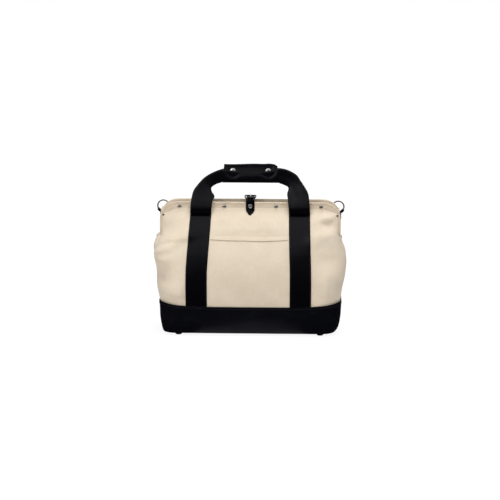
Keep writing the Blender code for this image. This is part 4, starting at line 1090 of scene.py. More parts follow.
def frame_line(offset, count=9):
    """The line along the bar's middle, with how far each point's outward side points to X and Z."""
    leg = RIM_END - BAR / 2
    centre = (RIM_END - RIM_CORNER, RIM - CLOTH - 0.0003 - RIM_CORNER)
    radius = RIM_CORNER - BAR / 2
    half_line = [(leg + offset, LEG_FOOT + (centre[1] - LEG_FOOT) * i / 5, 1, 0) for i in range(5)]
    for i in range(count):
        t = pi / 2 * i / (count - 1)
        half_line.append((centre[0] + (radius + offset) * cos(t), centre[1] + (radius + offset) * sin(t),
                          cos(t), sin(t)))
    half_line += [(centre[0] * (1 - i / 14), centre[1] + radius + offset, 0, 1) for i in range(1, 15)]
    return half_line + [(-x, z, -a, b) for x, z, a, b in half_line[-2::-1]]


print("points along the bar:", len(frame_line(0)))

# %% [markdown]
# ## The bands
#
# The band's edges are never straight, because the canvas was turned by hand, so soft noise moves
# them a little. In the picture the back band shows above the front one, so it stands 3 mm higher.

# %% Rim bands
# (distance outwards from the bar's middle, half depth)
BAND_SECTION = ((-0.0124, 0.0180), (-0.0100, 0.0191), (-0.0060, 0.0197), (0.0000, 0.0198),
                (0.0044, 0.0196), (0.0056, 0.0203), (0.0072, 0.0208), (0.0085, 0.0197),
                (0.0090, 0.0176), (0.0085, 0.0157), (0.0072, 0.0147), (0.0030, 0.0143),
                (-0.0060, 0.0141), (-0.0100, 0.0142), (-0.0124, 0.0156))
BACK_LIFT = 0.0030
SEAM_OUT, SEAM_DEPTH = 0.0035, 0.0199
for face, front in FACES:
    rows = []
    for k, (x, z, out_x, out_z) in enumerate(frame_line(0)):
        row = []
        for j, (out, depth) in enumerate(BAND_SECTION):
            wobble = noise.noise(Vector((x * 45, z * 45, j * 0.35 + front * 5))) * 0.00045
            lift = 0.0 if front > 0 else BACK_LIFT * ease(out, -0.006, 0.006) * ease(out_z, -0.2, 0.8)
            row.append((x + out_x * (out + lift * 0.5), -(depth + wobble) * front,
                        z + out_z * (out + wobble * 0.8 + lift)))
        rows.append(row)
    mesh, size = rows_mesh(face + "_rim_band", rows, closed=True, caps=True, flip=front > 0)
    made = smooth(add_object(face + "_rim_band", mesh, band_canvas))
    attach(made, face + "_frame")
    line = [((x, -SEAM_DEPTH * front, z), (0, -front, 0)) for x, z, _, _ in frame_line(SEAM_OUT)]
    sewn = stitches(face + "_rim_stitches", [line], cream_thread, pitch=0.0040, length=0.0030)
    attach(sewn, face + "_frame")
    print(face, "band runs", round(size[1], 3), "m")

# %% [markdown]
# ## The boot
#
# The lower fifth of the bag stands in a stiff black tub with a soft sheen. Its corners are creased
# where the skin was drawn round the form. A crease is a raised line from one place to another,
# which is easier to place by the picture than a painted bump, and shows in the outline too.

# %% Creases of the boot
def press(u, z, from_u, from_z, to_u, to_z, width, height):
    """A raised line from one place to another on the wall."""
    run = (to_u - from_u, to_z - from_z)
    t = ((u - from_u) * run[0] + (z - from_z) * run[1]) / (run[0] ** 2 + run[1] ** 2)
    t = min(1, max(0, t))
    gap = sqrt((u - from_u - run[0] * t) ** 2 + (z - from_z - run[1] * t) ** 2)
    return height * exp(-(gap / width) ** 2) * (1 - 0.5 * abs(2 * t - 1))


def boot_skin_out(x, y, z):
    """How far the boot's skin stands out of its plain wall."""
    out = 0.0010 * sin(pi * (z - FOOT) / (BOOT_TOP - FOOT))
    out += noise.noise(Vector((x * 16, y * 16, z * 26))) * 0.0008
    if y < 0 and x < 0:
        out += press(-x, z, 0.214, 0.066, 0.200, 0.046, 0.0032, 0.0034)
        out += press(-x, z, 0.200, 0.046, 0.203, 0.030, 0.0032, 0.0026)
        out += press(-x, z, 0.192, 0.024, 0.150, 0.022, 0.0050, 0.0014)
    elif y < 0:
        out += press(x, z, 0.196, 0.046, 0.209, 0.020, 0.0036, 0.0032)
        out += press(x, z, 0.214, 0.064, 0.200, 0.056, 0.0030, 0.0018)
    elif x < 0:
        out += press(-x, z, 0.212, 0.060, 0.200, 0.030, 0.0040, 0.0026)
    else:
        out += press(x, z, 0.210, 0.064, 0.198, 0.026, 0.0040, 0.0026)
    return out


print("the left crease stands out by", round(boot_skin_out(-0.200, -0.08, 0.046) * 1000, 1), "mm")

# %% [markdown]
# ## The boot's walls
#
# The walls lean out and the bottom edge is rounded. A loft of rounded rectangles, one for each
# height of a table, gives them. The loft goes over the top edge and back down the inside, so that
# the boot is a hollow tub with a real wall.

# %% Boot
# height, half length on the left, on the right, half depth
BOOT_TABLE = ((0.0060, 0.2020, 0.1975, 0.0800), (0.0070, 0.2052, 0.2015, 0.0822),
              (0.0090, 0.2072, 0.2050, 0.0836), (0.0140, 0.2092, 0.2092, 0.0846),
              (0.0260, 0.2120, 0.2150, 0.0854), (0.0420, 0.2148, 0.2184, 0.0864),
              (0.0570, 0.2165, 0.2198, 0.0872), (0.0710, 0.2190, 0.2212, 0.0880))


def boot_ring(z, inset=0.0, steps=16, straight=26):
    """Plan points round the boot, from the middle of the front, with the right side first."""
    depth = through(BOOT_TABLE, z, 3)
    corner = 0.024 + 0.030 * ease(z, FOOT - 0.01, BOOT_TOP)
    ring = []
    for side, front in ((1, 1), (1, -1), (-1, -1), (-1, 1)):
        length = through(BOOT_TABLE, z, 1 if side < 0 else 2)
        line = [((length - corner) * i / straight, depth, 0, 1) for i in range(straight)]
        line += [(length - corner + corner * sin(t), depth - corner + corner * cos(t), sin(t), cos(t))
                 for t in (pi / 2 * i / steps for i in range(steps + 1))]
        line += [(length, (depth - corner) * (1 - i / 4), 1, 0) for i in range(1, 4)]
        if side * front < 0:
            line = [(length, 0, 1, 0)] + line[:0:-1]
        for x, y, nx, ny in line:
            out = boot_skin_out(x * side, -y * front, z) - inset
            ring.append(((x + nx * out) * side, -(y + ny * out) * front, z + boot_rise(x, z)))
    return ring


levels = [0.0060, 0.0064, 0.0070, 0.0080, 0.0095, 0.0120, 0.0160]
levels += [0.0210 + 0.005 * i for i in range(10)] + [0.0703]
rows = [boot_ring(z) for z in levels]
rows += [boot_ring(0.0712, 0.0005), boot_ring(0.0712, 0.0016)]
rows += [boot_ring(z, BOOT_WALL + 0.0004) for z in (0.0700, 0.055, 0.035, 0.0150, 0.0100)]
mesh, size = rows_mesh("boot_skin", rows, closed=True, caps=True)
made = keep_sharp(add_object("boot_skin", mesh, boot_skin), 60)
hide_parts("boot")
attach(made, "bag_body")
print("boot walls:", len(rows), "rows of", len(rows[0]))

# %% [markdown]
# ## The boot's seam
#
# One seam of black thread runs all round under the top edge.

# %% Boot stitches
line = []
for x, y, z in boot_ring(0.0660, -0.0001):
    past = max(0, abs(x) - 0.165)
    line.append(((x, y, z), (past * (1 if x > 0 else -1), y * 0.6, 0)))
sewn = stitches("boot_stitches", [line + line[:1]], black_thread, pitch=0.0042, length=0.0031)
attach(sewn, "bag_body")
print("seam of the boot:", len(line), "places")

# %% [markdown]
# ## Feet and bottom board
#
# Four rubber studs keep the boot off the ground. Each is a low turned button with a rounded
# edge. Inside, a pressed fibreboard floor stays as the CAD has it, with its own finish.

# %% Feet
FOOT_PROFILE = ((0.0040, 0.0), (0.0064, 0.0002), (0.0075, 0.0010), (0.0081, 0.0026),
                (0.0082, 0.0050), (0.0080, 0.0064), (0.0022, 0.0066), (0.0022, 0.0118),
                (0.0045, 0.0120), (0.0043, 0.0129), (0.0028, 0.0134))
for face in ("front", "back"):
    for side in ("left", "right"):
        low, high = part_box(f"foot_{face}_{side}")
        middle = (low + high) / 2
        made = turned(f"{face}_{side}_foot", FOOT_PROFILE, (middle.x, middle.y, 0), (0, 0, 1), rubber)
        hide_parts(f"foot_{face}_{side}")
        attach(made, "bag_body")
print("feet stand", FOOT * 1000, "mm high")

# %% [markdown]
# ## Webbing on the body
#
# Four lengths of two inch webbing are sewn to the front and back, from the boot up to a crease
# where the handles leave. They are laid on the cloth's own shape, with rounded edges and a line
# of stitches near each edge, and lean in towards the top.

# %% Sewn webbing
# height, middle of the left webs, middle of the right webs
WEB_TABLE = ((0.067, 0.1262, 0.1222), (0.150, 0.1265, 0.1220), (0.190, 0.1244, 0.1208),
             (0.240, 0.1212, 0.1193), (0.287, 0.1185, 0.1185))
# (place across the web's width, height of its surface in thicknesses)
WEB_SHAPE = ((-0.5, 0.0), (-0.497, 0.72), (-0.485, 1.0), (-0.44, 1.04), (-0.3, 1.0), (-0.15, 0.98),
             (0.0, 1.0), (0.15, 0.98), (0.3, 1.0), (0.44, 1.04), (0.485, 1.0), (0.497, 0.72), (0.5, 0.0))


def web_middle(z, side):
    return through(WEB_TABLE, z, 1 if side < 0 else 2)


for face, front in FACES:
    for name, side in SIDES:
        rows, edges = [], ([], [])
        bottom, top = BOOT_TOP - 0.004, CREASE - 0.0012
        heights = [bottom] + [z for z in HEIGHTS if bottom + 0.002 < z < top - 0.002] + [top]
        for z in heights:
            middle = web_middle(z, side)
            outer, inner = [], []
            for across_share, rise in WEB_SHAPE:
                x = (middle + across_share * WEB) * side
                stand = 0.0002 + WEB_THICK * rise * (0.55 if z == top else 1)
                outer.append(cloth_point(x, z, front, stand))
                inner.append(cloth_point(x, z, front, -0.0004))
            rows.append(outer + inner[-2:0:-1])
            for line, edge in zip(edges, (-0.43, 0.43)):
                x = (middle + edge * WEB) * side
                line.append((cloth_point(x, z, front, WEB_THICK * 1.06), (0, -front, 0)))
        mesh, size = rows_mesh(f"{face}_{name}_web", rows, closed=True, caps=True, flip=side * front < 0)
        made = keep_sharp(add_object(f"{face}_{name}_web", mesh, webbing), 60)
        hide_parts(f"{face}_{name}_web_lower", f"{face}_{name}_web_upper")
        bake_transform(made)
        sewn = stitches(f"{face}_{name}_web_stitches", edges, black_thread)
        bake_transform(sewn)
    print(face, "webs run", round(size[1], 3), "m")

# %% [markdown]
# ## Outside pocket
#
# A plain canvas pocket sits between the front webs. Its top edge is turned in and sewn with a
# brown thread, and it stands a little off the body there. The face of the pocket is left bare.

# %% Places on the pocket
def pocket_stand(x, z):
    """How far the pocket's face stands off the body."""
    across = abs(x) / (web_middle(z, -1 if x < 0 else 1) - WEB / 2)
    side, flush = max(0, 1 - across ** 4), max(0, 1 - across ** 12)
    up_share = max(0, (z - BOOT_TOP) / (POCKET_TOP - BOOT_TOP))
    swell = 0.0080 * sin(pi * min(1, up_share * 0.84)) ** 1.5 + 0.0026 * ease(up_share, 0.7, 1.0)
    pleat = 0.0022 * exp(-((x - 0.052) / 0.006) ** 2) * ease(z, 0.072, 0.085) * (1 - ease(z, 0.105, 0.135))
    pleat += 0.0014 * exp(-((x + 0.060) / 0.009) ** 2) * ease(z, 0.072, 0.085) * (1 - ease(z, 0.09, 0.12))
    hem = 0.0012 * ease(z, POCKET_TOP - 0.0118, POCKET_TOP - 0.0106)
    return 0.0002 + (0.0014 * ease(z, BOOT_TOP, 0.085) + hem) * flush + (swell + pleat) * side


def pocket_top(x):
    sag = 0.0012 * sin(pi * (x + 0.094) / 0.188)
    return POCKET_TOP - sag - 0.0012 * exp(-((x - 0.03) / 0.03) ** 2)


def pocket_x(share, z, tuck=0.0):
    """A place across the pocket, from -1 at the left web to 1 at the right one."""
    return share * (web_middle(z, -1 if share < 0 else 1) - WEB / 2 + tuck)


def pocket_point(x, z, lift=0.0):
    sag = (pocket_top(x) - POCKET_TOP) * ease(z, 0.19, POCKET_TOP - 0.012)
    return cloth_point(x, z + sag, 1, pocket_stand(x, z) + lift)


print("pocket's middle stands off the body by", round(pocket_stand(0, 0.16) * 1000, 1), "mm")

# %% [markdown]
# ## The pocket's cloth and hem
#
# The pocket is one sheet from web to web whose side edges are tucked under the webs. Rows stand
# close together at the hem, where the cloth is doubled, and one line of thread holds it.

# %% Pocket
POCKET_HEIGHTS = [0.0600, 0.0695] + [0.077 + 0.0076 * i for i in range(20)]
POCKET_HEIGHTS += [POCKET_TOP - drop for drop in (0.0122, 0.0114, 0.0106, 0.006, 0.0015, 0.0)]
rows = []
for z in POCKET_HEIGHTS:
    rows.append([pocket_point(pocket_x(i / 18 - 1, z, 0.004), z) for i in range(37)])
mesh, size = rows_mesh("front_pocket_cloth", rows)
pocket = smooth(thicken(add_object("front_pocket_cloth", mesh, canvas), CLOTH))
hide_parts("front_pocket")
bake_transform(pocket)
hem = POCKET_TOP - 0.0102
line = [(pocket_point(pocket_x(i / 30 - 1, hem), hem, 0.0001), (0, -1, 0.25)) for i in range(61)]
sewn = stitches("pocket_stitches", [line], tan_thread, length=0.0031, radius=0.00062)
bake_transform(sewn)
print("pocket measures", [round(v, 3) for v in size])

# %% [markdown]
# ## The handles' line
#
# Above the crease each strap bows out, then leans in to the middle and is folded in half along
# its length, so that it fits in a hand. The strap's section is a line with a hinge in its
# middle: the outer half stays flat while the inner half turns back behind it. A table gives the
# strap's place and how much of it shows, read off the picture at a few places on each side.

# %% Tables of the handles
# distance out, height, half depth, way the strap points in degrees, and the width that shows
# outside and inside its middle
LEFT_HANDLE = (
    (0.1185, 0.2858, 0.0288, 90, 0.0255, 0.0255), (0.1185, 0.2925, 0.0320, 90, 0.0255, 0.0255),
    (0.1180, 0.3010, 0.0336, 88, 0.0255, 0.0255), (0.1165, 0.3170, 0.0296, 84, 0.0255, 0.0255),
    (0.1132, 0.3325, 0.0235, 75, 0.0240, 0.0246), (0.1100, 0.3440, 0.0192, 64, 0.0185, 0.0212),
    (0.1076, 0.3535, 0.0160, 50, 0.0135, 0.0145), (0.1035, 0.3612, 0.0135, 38, 0.0110, 0.0112),
    (0.0921, 0.3692, 0.0112, 30, 0.0108, 0.0108), (0.0780, 0.3752, 0.0106, 21, 0.0115, 0.0115),
    (0.0655, 0.3788, 0.0104, 13, 0.0118, 0.0118), (0.0500, 0.3770, 0.0100, -6, 0.0108, 0.0108),
    (0.0300, 0.3750, 0.0098, -3, 0.0104, 0.0104), (0.0, 0.3745, 0.0098, 0, 0.0104, 0.0104))
RIGHT_HANDLE = (
    (0.1185, 0.2858, 0.0288, 90, 0.0255, 0.0255), (0.1185, 0.2925, 0.0320, 90, 0.0255, 0.0255),
    (0.1180, 0.3010, 0.0338, 89, 0.0255, 0.0255), (0.1166, 0.3150, 0.0304, 86, 0.0255, 0.0255),
    (0.1150, 0.3300, 0.0244, 82, 0.0236, 0.0250), (0.1118, 0.3450, 0.0196, 69, 0.0176, 0.0226),
    (0.1075, 0.3572, 0.0160, 54, 0.0136, 0.0172), (0.1010, 0.3662, 0.0136, 38, 0.0146, 0.0142),
    (0.0890, 0.3732, 0.0116, 24, 0.0152, 0.0146), (0.0770, 0.3775, 0.0108, 16, 0.0152, 0.0148),
    (0.0655, 0.3788, 0.0104, 8, 0.0146, 0.0142), (0.0500, 0.3765, 0.0100, -4, 0.0116, 0.0116),
    (0.0300, 0.3750, 0.0098, -2, 0.0104, 0.0104), (0.0, 0.3745, 0.0098, 0, 0.0104, 0.0104))
print("handle's top in mm:", [max(row[1] for row in table) * 1000 for table in (LEFT_HANDLE, RIGHT_HANDLE)])

# %% [markdown]
# ## A strap that folds along its length
#
# Half the strap's width is drawn as a flat line, a tight bend and a flap that goes back. Where the
# flat part is as wide as the strap, there is no bend. The flat part shrinks along the handle, so
# one set of rings goes smoothly from flat webbing to the folded grip.

# %% Section of a handle
BEND = 0.0019  # radius of the strap where it is folded
TURN = radians(166)  # how far the folded half turns back


def strip(shown, turn):
    """One half of the strap's width: flat for the shown width, then bent back, as (along, behind) pairs."""
    points = []
    for k in range(20):
        s = WEB / 2 * k / 19
        if s <= shown:
            points.append((s, 0.0))
        elif s <= shown + BEND * turn:
            t = (s - shown) / BEND
            points.append((shown + BEND * sin(t), BEND * (1 - cos(t))))
        else:
            rest = s - shown - BEND * turn
            points.append((shown + BEND * sin(turn) + rest * cos(turn),
                           BEND * (1 - cos(turn)) + rest * sin(turn)))
    return points


print("half a strap laid flat reaches", strip(WEB, TURN)[-1][0] * 1000, "mm")

# %% [markdown]
# ## Handles
#
# Both handles use the same tables. The back one hangs a little lower at its bend, so that it
# shows beside the front one as in the picture.

# %% Handle webbing
def handle_rows(table, side, front):
    """Rings of a handle strap, from the crease to the middle of the grip."""
    run = [0]
    for a, b in zip(table, table[1:]):
        run.append(run[-1] + sqrt(sum((a[k] - b[k]) ** 2 for k in range(3))))
    at = np.linspace(0, run[-1], 58)
    values = [[through([(r, row[k]) for r, row in zip(run, table)], s) for s in at] for k in range(6)]
    rows = []
    for x, z, depth, way, shown_out, shown_in in zip(*values):
        if front < 0:
            z -= 0.30 * depth * ease(z, 0.300, 0.325) * ease(x, 0.058, 0.080)
        out_x, out_z = sin(radians(way)), cos(radians(way))
        section = [(-a, b) for a, b in strip(shown_in, TURN)[:0:-1]] + strip(shown_out, TURN)
        cupped = [(a, b + 0.0010 * (a / 0.0255) ** 2) for a, b in section]
        outer, inner = [], []
        last = len(cupped) - 1
        for k, (a, b) in enumerate(cupped):
            before, after = cupped[max(0, k - 1)], cupped[min(last, k + 1)]
            da, db = after[0] - before[0], after[1] - before[1]
            size = sqrt(da * da + db * db)
            edge = min(k, last - k)
            thick = WEB_THICK / 2 * (0.35, 0.85, 1.0)[min(edge, 2)]
            outer.append((a + db / size * thick, b - da / size * thick))
            inner.append((a - db / size * thick, b + da / size * thick))
        rows.append([((x + out_x * a) * side, -(depth - b) * front, z + out_z * a)
                     for a, b in outer + inner[::-1]])
    return rows


for face, front in FACES:
    left_rows = handle_rows(LEFT_HANDLE, -1, front)
    right_rows = handle_rows(RIGHT_HANDLE, 1, front)
    count = len(left_rows[0])
    mirrored = [[row[(count // 2 - 1 - k) % count] for k in range(count)] for row in right_rows[::-1]]
    rows = left_rows[:-1] + mirrored
    mesh, size = rows_mesh(face + "_handle", rows, closed=True, caps=True, flip=front < 0)
    made = keep_sharp(add_object(face + "_handle", mesh, webbing), 70)
    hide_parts(face + "_handle_web")
    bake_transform(made)
    print(face, "handle strap runs", round(size[1], 3), "m")

# %% [markdown]
# ## Grip
#
# A leather grip is wrapped round both handles. Each half covers its own handle like a gutter
# with a flat leaf on top, and two snaps join the leaves. The leather is loose at its ends and
# pinched at the snaps, so its top edge waves.

# %% Section of the grip
GRIP_HALF = 0.0655
GRIP_LEATHER = 0.0019
# half depth and height of the leather's outside, from its lower edge to its top
GRIP_OUTER = ((0.0004, 0.3614), (0.0062, 0.3608), (0.0110, 0.3626), (0.0138, 0.3676),
              (0.0143, 0.3736), (0.0134, 0.3795), (0.0108, 0.3850), (0.0076, 0.3898),
              (0.0052, 0.3945), (0.0041, 0.3990), (0.0037, 0.4030), (0.0028, 0.4052),
              (0.0004, 0.4054))


def grip_ring(x, front):
    """The leather's section at a place along the grip: its outside, and back down its inside."""
    end = abs(x) / GRIP_HALF
    snap = exp(-((abs(x) - 0.0425) / 0.011) ** 2)
    open_end = ease(end, 0.74, 1.0)
    crest = 0.0008 * sin(x * 55 + 1.0) + 0.0015 * exp(-((x - 0.046) / 0.010) ** 2)
    crest -= 0.0030 * ease(x, 0.0575, 0.0640)
    outer = [(y, z) for y, z, _ in curve_through([(y, z, 0) for y, z in GRIP_OUTER], 40)]
    ring = []
    for y, z in outer:
        pinch = snap * exp(-((z - 0.3862) / 0.0110) ** 2)
        y += (0.0052 * open_end * exp(-((z - 0.391) / 0.009) ** 2) if y > 0.001 else 0)
        y -= max(0, y - 0.0048) * pinch * 0.95
        wrinkle = noise.noise(Vector((x * 60, z * 50, front * 2.0))) * 0.0007
        wrinkle += snap * 0.0008 * exp(-((z - 0.378) / 0.004) ** 2)
        slant = (z - 0.384) * 0.10 * ease(end, 0.85, 1.0) * (1 if x < 0 else -0.5)
        out = wrinkle if y > 0.003 else 0
        ring.append((x + slant, y + out, z + crest * ease(z, 0.394, 0.404)))
    inside = []
    for k in range(len(ring) - 2, 1, -1):
        before, after = ring[k - 1], ring[k + 1]
        dy, dz = after[1] - before[1], after[2] - before[2]
        size = sqrt(dy * dy + dz * dz)
        y = ring[k][1] - dz / size * GRIP_LEATHER
        z = ring[k][2] + dy / size * GRIP_LEATHER
        inside.append((ring[k][0], max(0.0003, y), z))
    return [(px, -py * front, pz) for px, py, pz in ring + inside]


print("grip leather is", GRIP_LEATHER * 1000, "mm thick")

# %% [markdown]
# ## Grip halves
#
# Each half is a loft of the section along the grip, closed at both ends.

# %% Grip halves
for face, front in FACES:
    rows = [grip_ring(GRIP_HALF * (i / 30 - 1), front) for i in range(61)]
    mesh, size = rows_mesh(face + "_grip_leather", rows, closed=True, caps=True, flip=front > 0)
    made = keep_sharp(add_object(face + "_grip_leather", mesh, leather), 50)
    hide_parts(face + "_grip")
    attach(made, face + "_handle")
    print(face, "grip runs", round(size[1], 3), "m")

# %% [markdown]
# ## Rivets and snaps
#
# The rim is closed with domed nickel rivets, and the snaps are wide polished caps. All are turned
# from a profile, which gives their highlights a true round edge. Each takes the place of its CAD
# piece, whose box says where it is.

# %% Placing a fastener
def fastener(name, node, profile, front, material, body, steps=40):
    """A turned piece in place of a CAD fastener, its head towards the front or the back."""
    low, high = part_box(node)
    middle = (low + high) / 2
    start = profile["seat"] * -front
    made = turned(name, profile["points"], (middle.x, start, middle.z), (0, -front, 0), material, steps)
    for vert in made.data.vertices:
        vert.co.z = middle.z + (vert.co.z - middle.z) * profile.get("flat", 1)
    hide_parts(node)
    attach(made, body)
    return made


print("fasteners in the frame:", len([name for name in nodes if "rivet" in name or "snap_cap" in name]))

# %% [markdown]
# ## Profiles of rivets and snaps
#
# A profile runs from the hidden tail up to the head. The domes are rather flat, the snap caps have
# a rolled edge, and the strap rivets are hollow in the middle.

# %% Profiles
def dome(radius, height, seat, tail):
    """A shank, a thin flange and a dome, as distances out from the seat."""
    shank = 0.0015
    points = [(0.0030, -tail), (0.0030, -tail + 0.0006), (shank, -tail + 0.0007), (shank, -0.0004),
              (radius * 0.92, -0.0003), (radius, 0.0001), (radius * 0.99, height * 0.30)]
    for i in range(1, 8):
        t = pi / 2 * i / 8
        points.append((radius * 0.93 * cos(t), height * (0.36 + 0.64 * sin(t))))
    return {"seat": seat, "points": points, "flat": 0.78}


def snap_points():
    """A cap with a rolled edge and a high dome."""
    points = [(0.0034, -0.0022), (0.0034, -0.0002), (0.0070, 0.0), (0.0076, 0.0004), (0.0078, 0.0010)]
    for i in range(1, 11):
        t = pi / 2 * i / 11
        points.append((0.0077 * cos(t) ** 0.85, 0.0010 + 0.0030 * sin(t)))
    return {"seat": 0.0054, "points": points}


def eyelet_points():
    """A tubular rivet: a rolled ring with a hollow middle."""
    points = [(0.0030, -0.0085), (0.0030, -0.0078), (0.0015, -0.0077), (0.0015, -0.0004), (0.0050, -0.0003),
              (0.00535, 0.0003), (0.0053, 0.0010), (0.0048, 0.0016), (0.0040, 0.0019), (0.0032, 0.0016),
              (0.0026, 0.0009), (0.0022, 0.0003), (0.0012, 0.0001)]
    return {"seat": RIM_DEPTH + 0.0003 + 0.0026, "points": points}


RIM_RIVET = dome(0.0050, 0.0024, 0.0198, 0.0060)
CORNER_STUD = dome(0.0027, 0.0016, 0.0213, 0.0062)
print("a rim rivet's profile has", len(RIM_RIVET["points"]), "points")

# %% [markdown]
# ## Rivets and snaps in their places
#
# Four rivets and two small corner studs sit on each side of the rim, a rivet head at each hinge,
# one hollow rivet on each closing strap and two snaps on the grip.

# %% Fasteners
for face, front in FACES:
    for number in (1, 2, 3, 4):
        fastener(f"{face}_rivet_{number}", f"{face}_rim_rivet_{number}", RIM_RIVET, front,
                 nickel, face + "_frame")
    for name in ("left", "right"):
        fastener(f"{face}_{name}_corner_stud", f"{face}_{name}_corner_rivet", CORNER_STUD, front,
                 dark_steel, face + "_frame", 28)
for name, side in SIDES:
    outside = end_length(PIN, side) + 0.0014
    points = [(0.0024, outside - 0.0135), (0.0024, outside - 0.0016), (0.0046, outside - 0.0014)]
    points += [(0.0046 * cos(pi / 2 * i / 6), outside - 0.0012 + 0.0012 * sin(pi / 2 * i / 6))
               for i in range(6)]
    made = turned(name + "_hinge_rivet", points, (0, 0, PIN), (side, 0, 0), mill_steel, 32)
    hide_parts(name + "_hinge_pin")
    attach(made, "bag_body")
fastener("front_strap_rivet", "chape_rivet", eyelet_points(), 1, nickel, "front_frame")
fastener("back_strap_rivet", "billet_rivet", eyelet_points(), -1, nickel, "back_frame")
for name in ("left", "right"):
    fastener(f"{name}_snap", f"{name}_snap_cap", snap_points(), 1, nickel, "front_handle", 56)
print("hinge rivets stand at", [round(end_length(PIN, side) * 1000, 1) for _, side in SIDES], "mm")

# %% [markdown]
# ## Closing strap and buckle
#
# A leather loop on the front rim holds the buckle, and a strap from the back rim goes through
# it. Both are flat leather with rounded edges and a pointed end, so a rounded flat section is
# drawn along a line that is seen from the side.

# %% Section of a strap
HEEL = 0.014
WIRE = 0.0016
STRAP = 0.021
STRAP_THICK = 0.0021
HEEL_Z = RIM + 0.0003 + STRAP_THICK + 0.0003 + 0.0004 + WIRE + 0.0003
BAR_Z = 0.3282
TIP_Z = 0.285
POINT = 0.0135  # length of a strap's pointed end
# (share of the half width, share of the half thickness) round a strap's section
STRAP_SHAPE = ((-1, 0.0), (-0.985, 0.6), (-0.93, 1.0), (-0.5, 1.04), (0, 1.05), (0.5, 1.04),
               (0.93, 1.0), (0.985, 0.6), (1, 0.0), (0.985, -0.6), (0.93, -1.0), (0, -1.0),
               (-0.93, -1.0), (-0.985, -0.6))


def strap_rows(line, half_width_at):
    """Rings of a leather strap through (y, z) points, with rounded edges."""
    rows = []
    last = len(line) - 1
    for i, (y, z) in enumerate(line):
        before, after = line[max(0, i - 1)], line[min(last, i + 1)]
        run = Vector((after[0] - before[0], after[1] - before[1])).normalized()
        off = Vector((-run.y, run.x)) * (STRAP_THICK / 2)
        half_width = half_width_at(i, z)
        rows.append([(half_width * across_share, y + off.x * rise, z + off.y * rise)
                     for across_share, rise in STRAP_SHAPE])
    return rows


def pointed(z, tip, start):
    """Half width of a strap that narrows from a height to its rounded tip."""
    share = min(1, max(0, (z - tip) / (start - tip)))
    return STRAP / 2 * max(0.14, (1 - (1 - share) ** 1.7) ** 0.72)


print("closing strap:", STRAP * 1000, "x", STRAP_THICK * 1000, "mm")

# %% [markdown]
# ## A slot for the prong
#
# The prong goes through a slot in the leather. A boolean cut with a small box makes a true hole
# with walls, and its result is kept as the piece's own mesh, so that the box can be deleted.

# %% Cutting a slot
SLOT_HALF = 0.0026


def cut_slot(made, low, high):
    """Cut a box out of a piece, for the prong's slot."""
    shape = bmesh.new()
    bmesh.ops.create_cube(shape, size=1)
    middle, size = (Vector(low) + Vector(high)) / 2, Vector(high) - Vector(low)
    for vert in shape.verts:
        vert.co = Vector((vert.co.x * size.x, vert.co.y * size.y, vert.co.z * size.z)) + middle
    mesh = bpy.data.meshes.new("slot_tool")
    shape.to_mesh(mesh)
    shape.free()
    tool = bpy.data.objects.new("slot_tool", mesh)
    bpy.context.scene.collection.objects.link(tool)
    cut = made.modifiers.new("slot", "BOOLEAN")
    cut.operation = "DIFFERENCE"
    cut.solver = "EXACT"
    cut.object = tool
    graph = bpy.context.evaluated_depsgraph_get()
    result = bpy.data.meshes.new_from_object(made.evaluated_get(graph))
    made.modifiers.clear()
    made.data = result
    bpy.data.objects.remove(tool)
    return keep_sharp(made, 40)


print("the slot is", SLOT_HALF * 2000, "mm wide")

# %% [markdown]
# ## The loop that holds the buckle
#
# The leather starts on the rim under the buckle's heel, goes round behind the heel and over it, and
# comes down the front of the rim to a point. One rivet holds it there.

# %% Loop on the front
loop_radius = WIRE + 0.0004 + STRAP_THICK / 2
line = [(-HEEL - loop_radius, HEEL_Z - loop_radius)]
for i in range(13):
    t = -pi / 2 + pi * i / 12
    line.append((-HEEL + loop_radius * cos(t), HEEL_Z + loop_radius * sin(t)))
front_face = 0.0200 + 0.0003 + STRAP_THICK / 2
line.append((-HEEL - loop_radius * 0.9, HEEL_Z + loop_radius * 0.80))
line.append((-front_face + 0.0006, HEEL_Z + loop_radius * 0.2))
line.append((-front_face - 0.0004, HEEL_Z - loop_radius * 1.2))
loop_start = RIM - 0.004
for z in [loop_start - (loop_start - TIP_Z) * i / 14 for i in range(15)]:
    depth = max(front_face - 0.0002, cloth_depth(0, z, 1) + 0.0003 + STRAP_THICK / 2)
    line.append((-depth, z))
rows = strap_rows(line, lambda i, z: pointed(z, TIP_Z, TIP_Z + POINT))
mesh, size = rows_mesh("closing_loop", rows, closed=True, caps=True)
made = cut_slot(add_object("closing_loop", mesh, leather), (-SLOT_HALF, -HEEL - 0.0048, RIM),
                (SLOT_HALF, 0.0, HEEL_Z + loop_radius + STRAP_THICK))
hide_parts("buckle_chape")
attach(made, "front_frame")
print("loop runs", round(size[1], 3), "m")

# %% [markdown]
# ## The strap from the back
#
# The strap comes up the back of the rim, dips under the buckle's far bar and lies over its heel,
# with the prong through it. A smooth curve through a few places gives this wave, and the end that
# lies on the buckle is rounded.

# %% Strap from the back
FAR = -HEEL + 0.026 - WIRE * 2
under = BAR_Z - WIRE - 0.0003 - STRAP_THICK / 2
over = HEEL_Z + WIRE + 0.0004 + STRAP_THICK + 0.0006 + STRAP_THICK / 2
line = [(max(front_face, cloth_depth(0, z, -1) + 0.0003 + STRAP_THICK / 2), z)
        for z in [TIP_Z + (RIM - 0.006 - TIP_Z) * i / 12 for i in range(13)]]
line += [(front_face, RIM + 0.0010), (front_face - 0.0014, RIM + 0.0052),
         (front_face - 0.0056, under - 0.0008), (FAR, under), (FAR - 0.0080, under + 0.0004),
         (-HEEL + 0.0060, over - 0.0002), (-HEEL, over), (-RIM_DEPTH, over - 0.0006)]


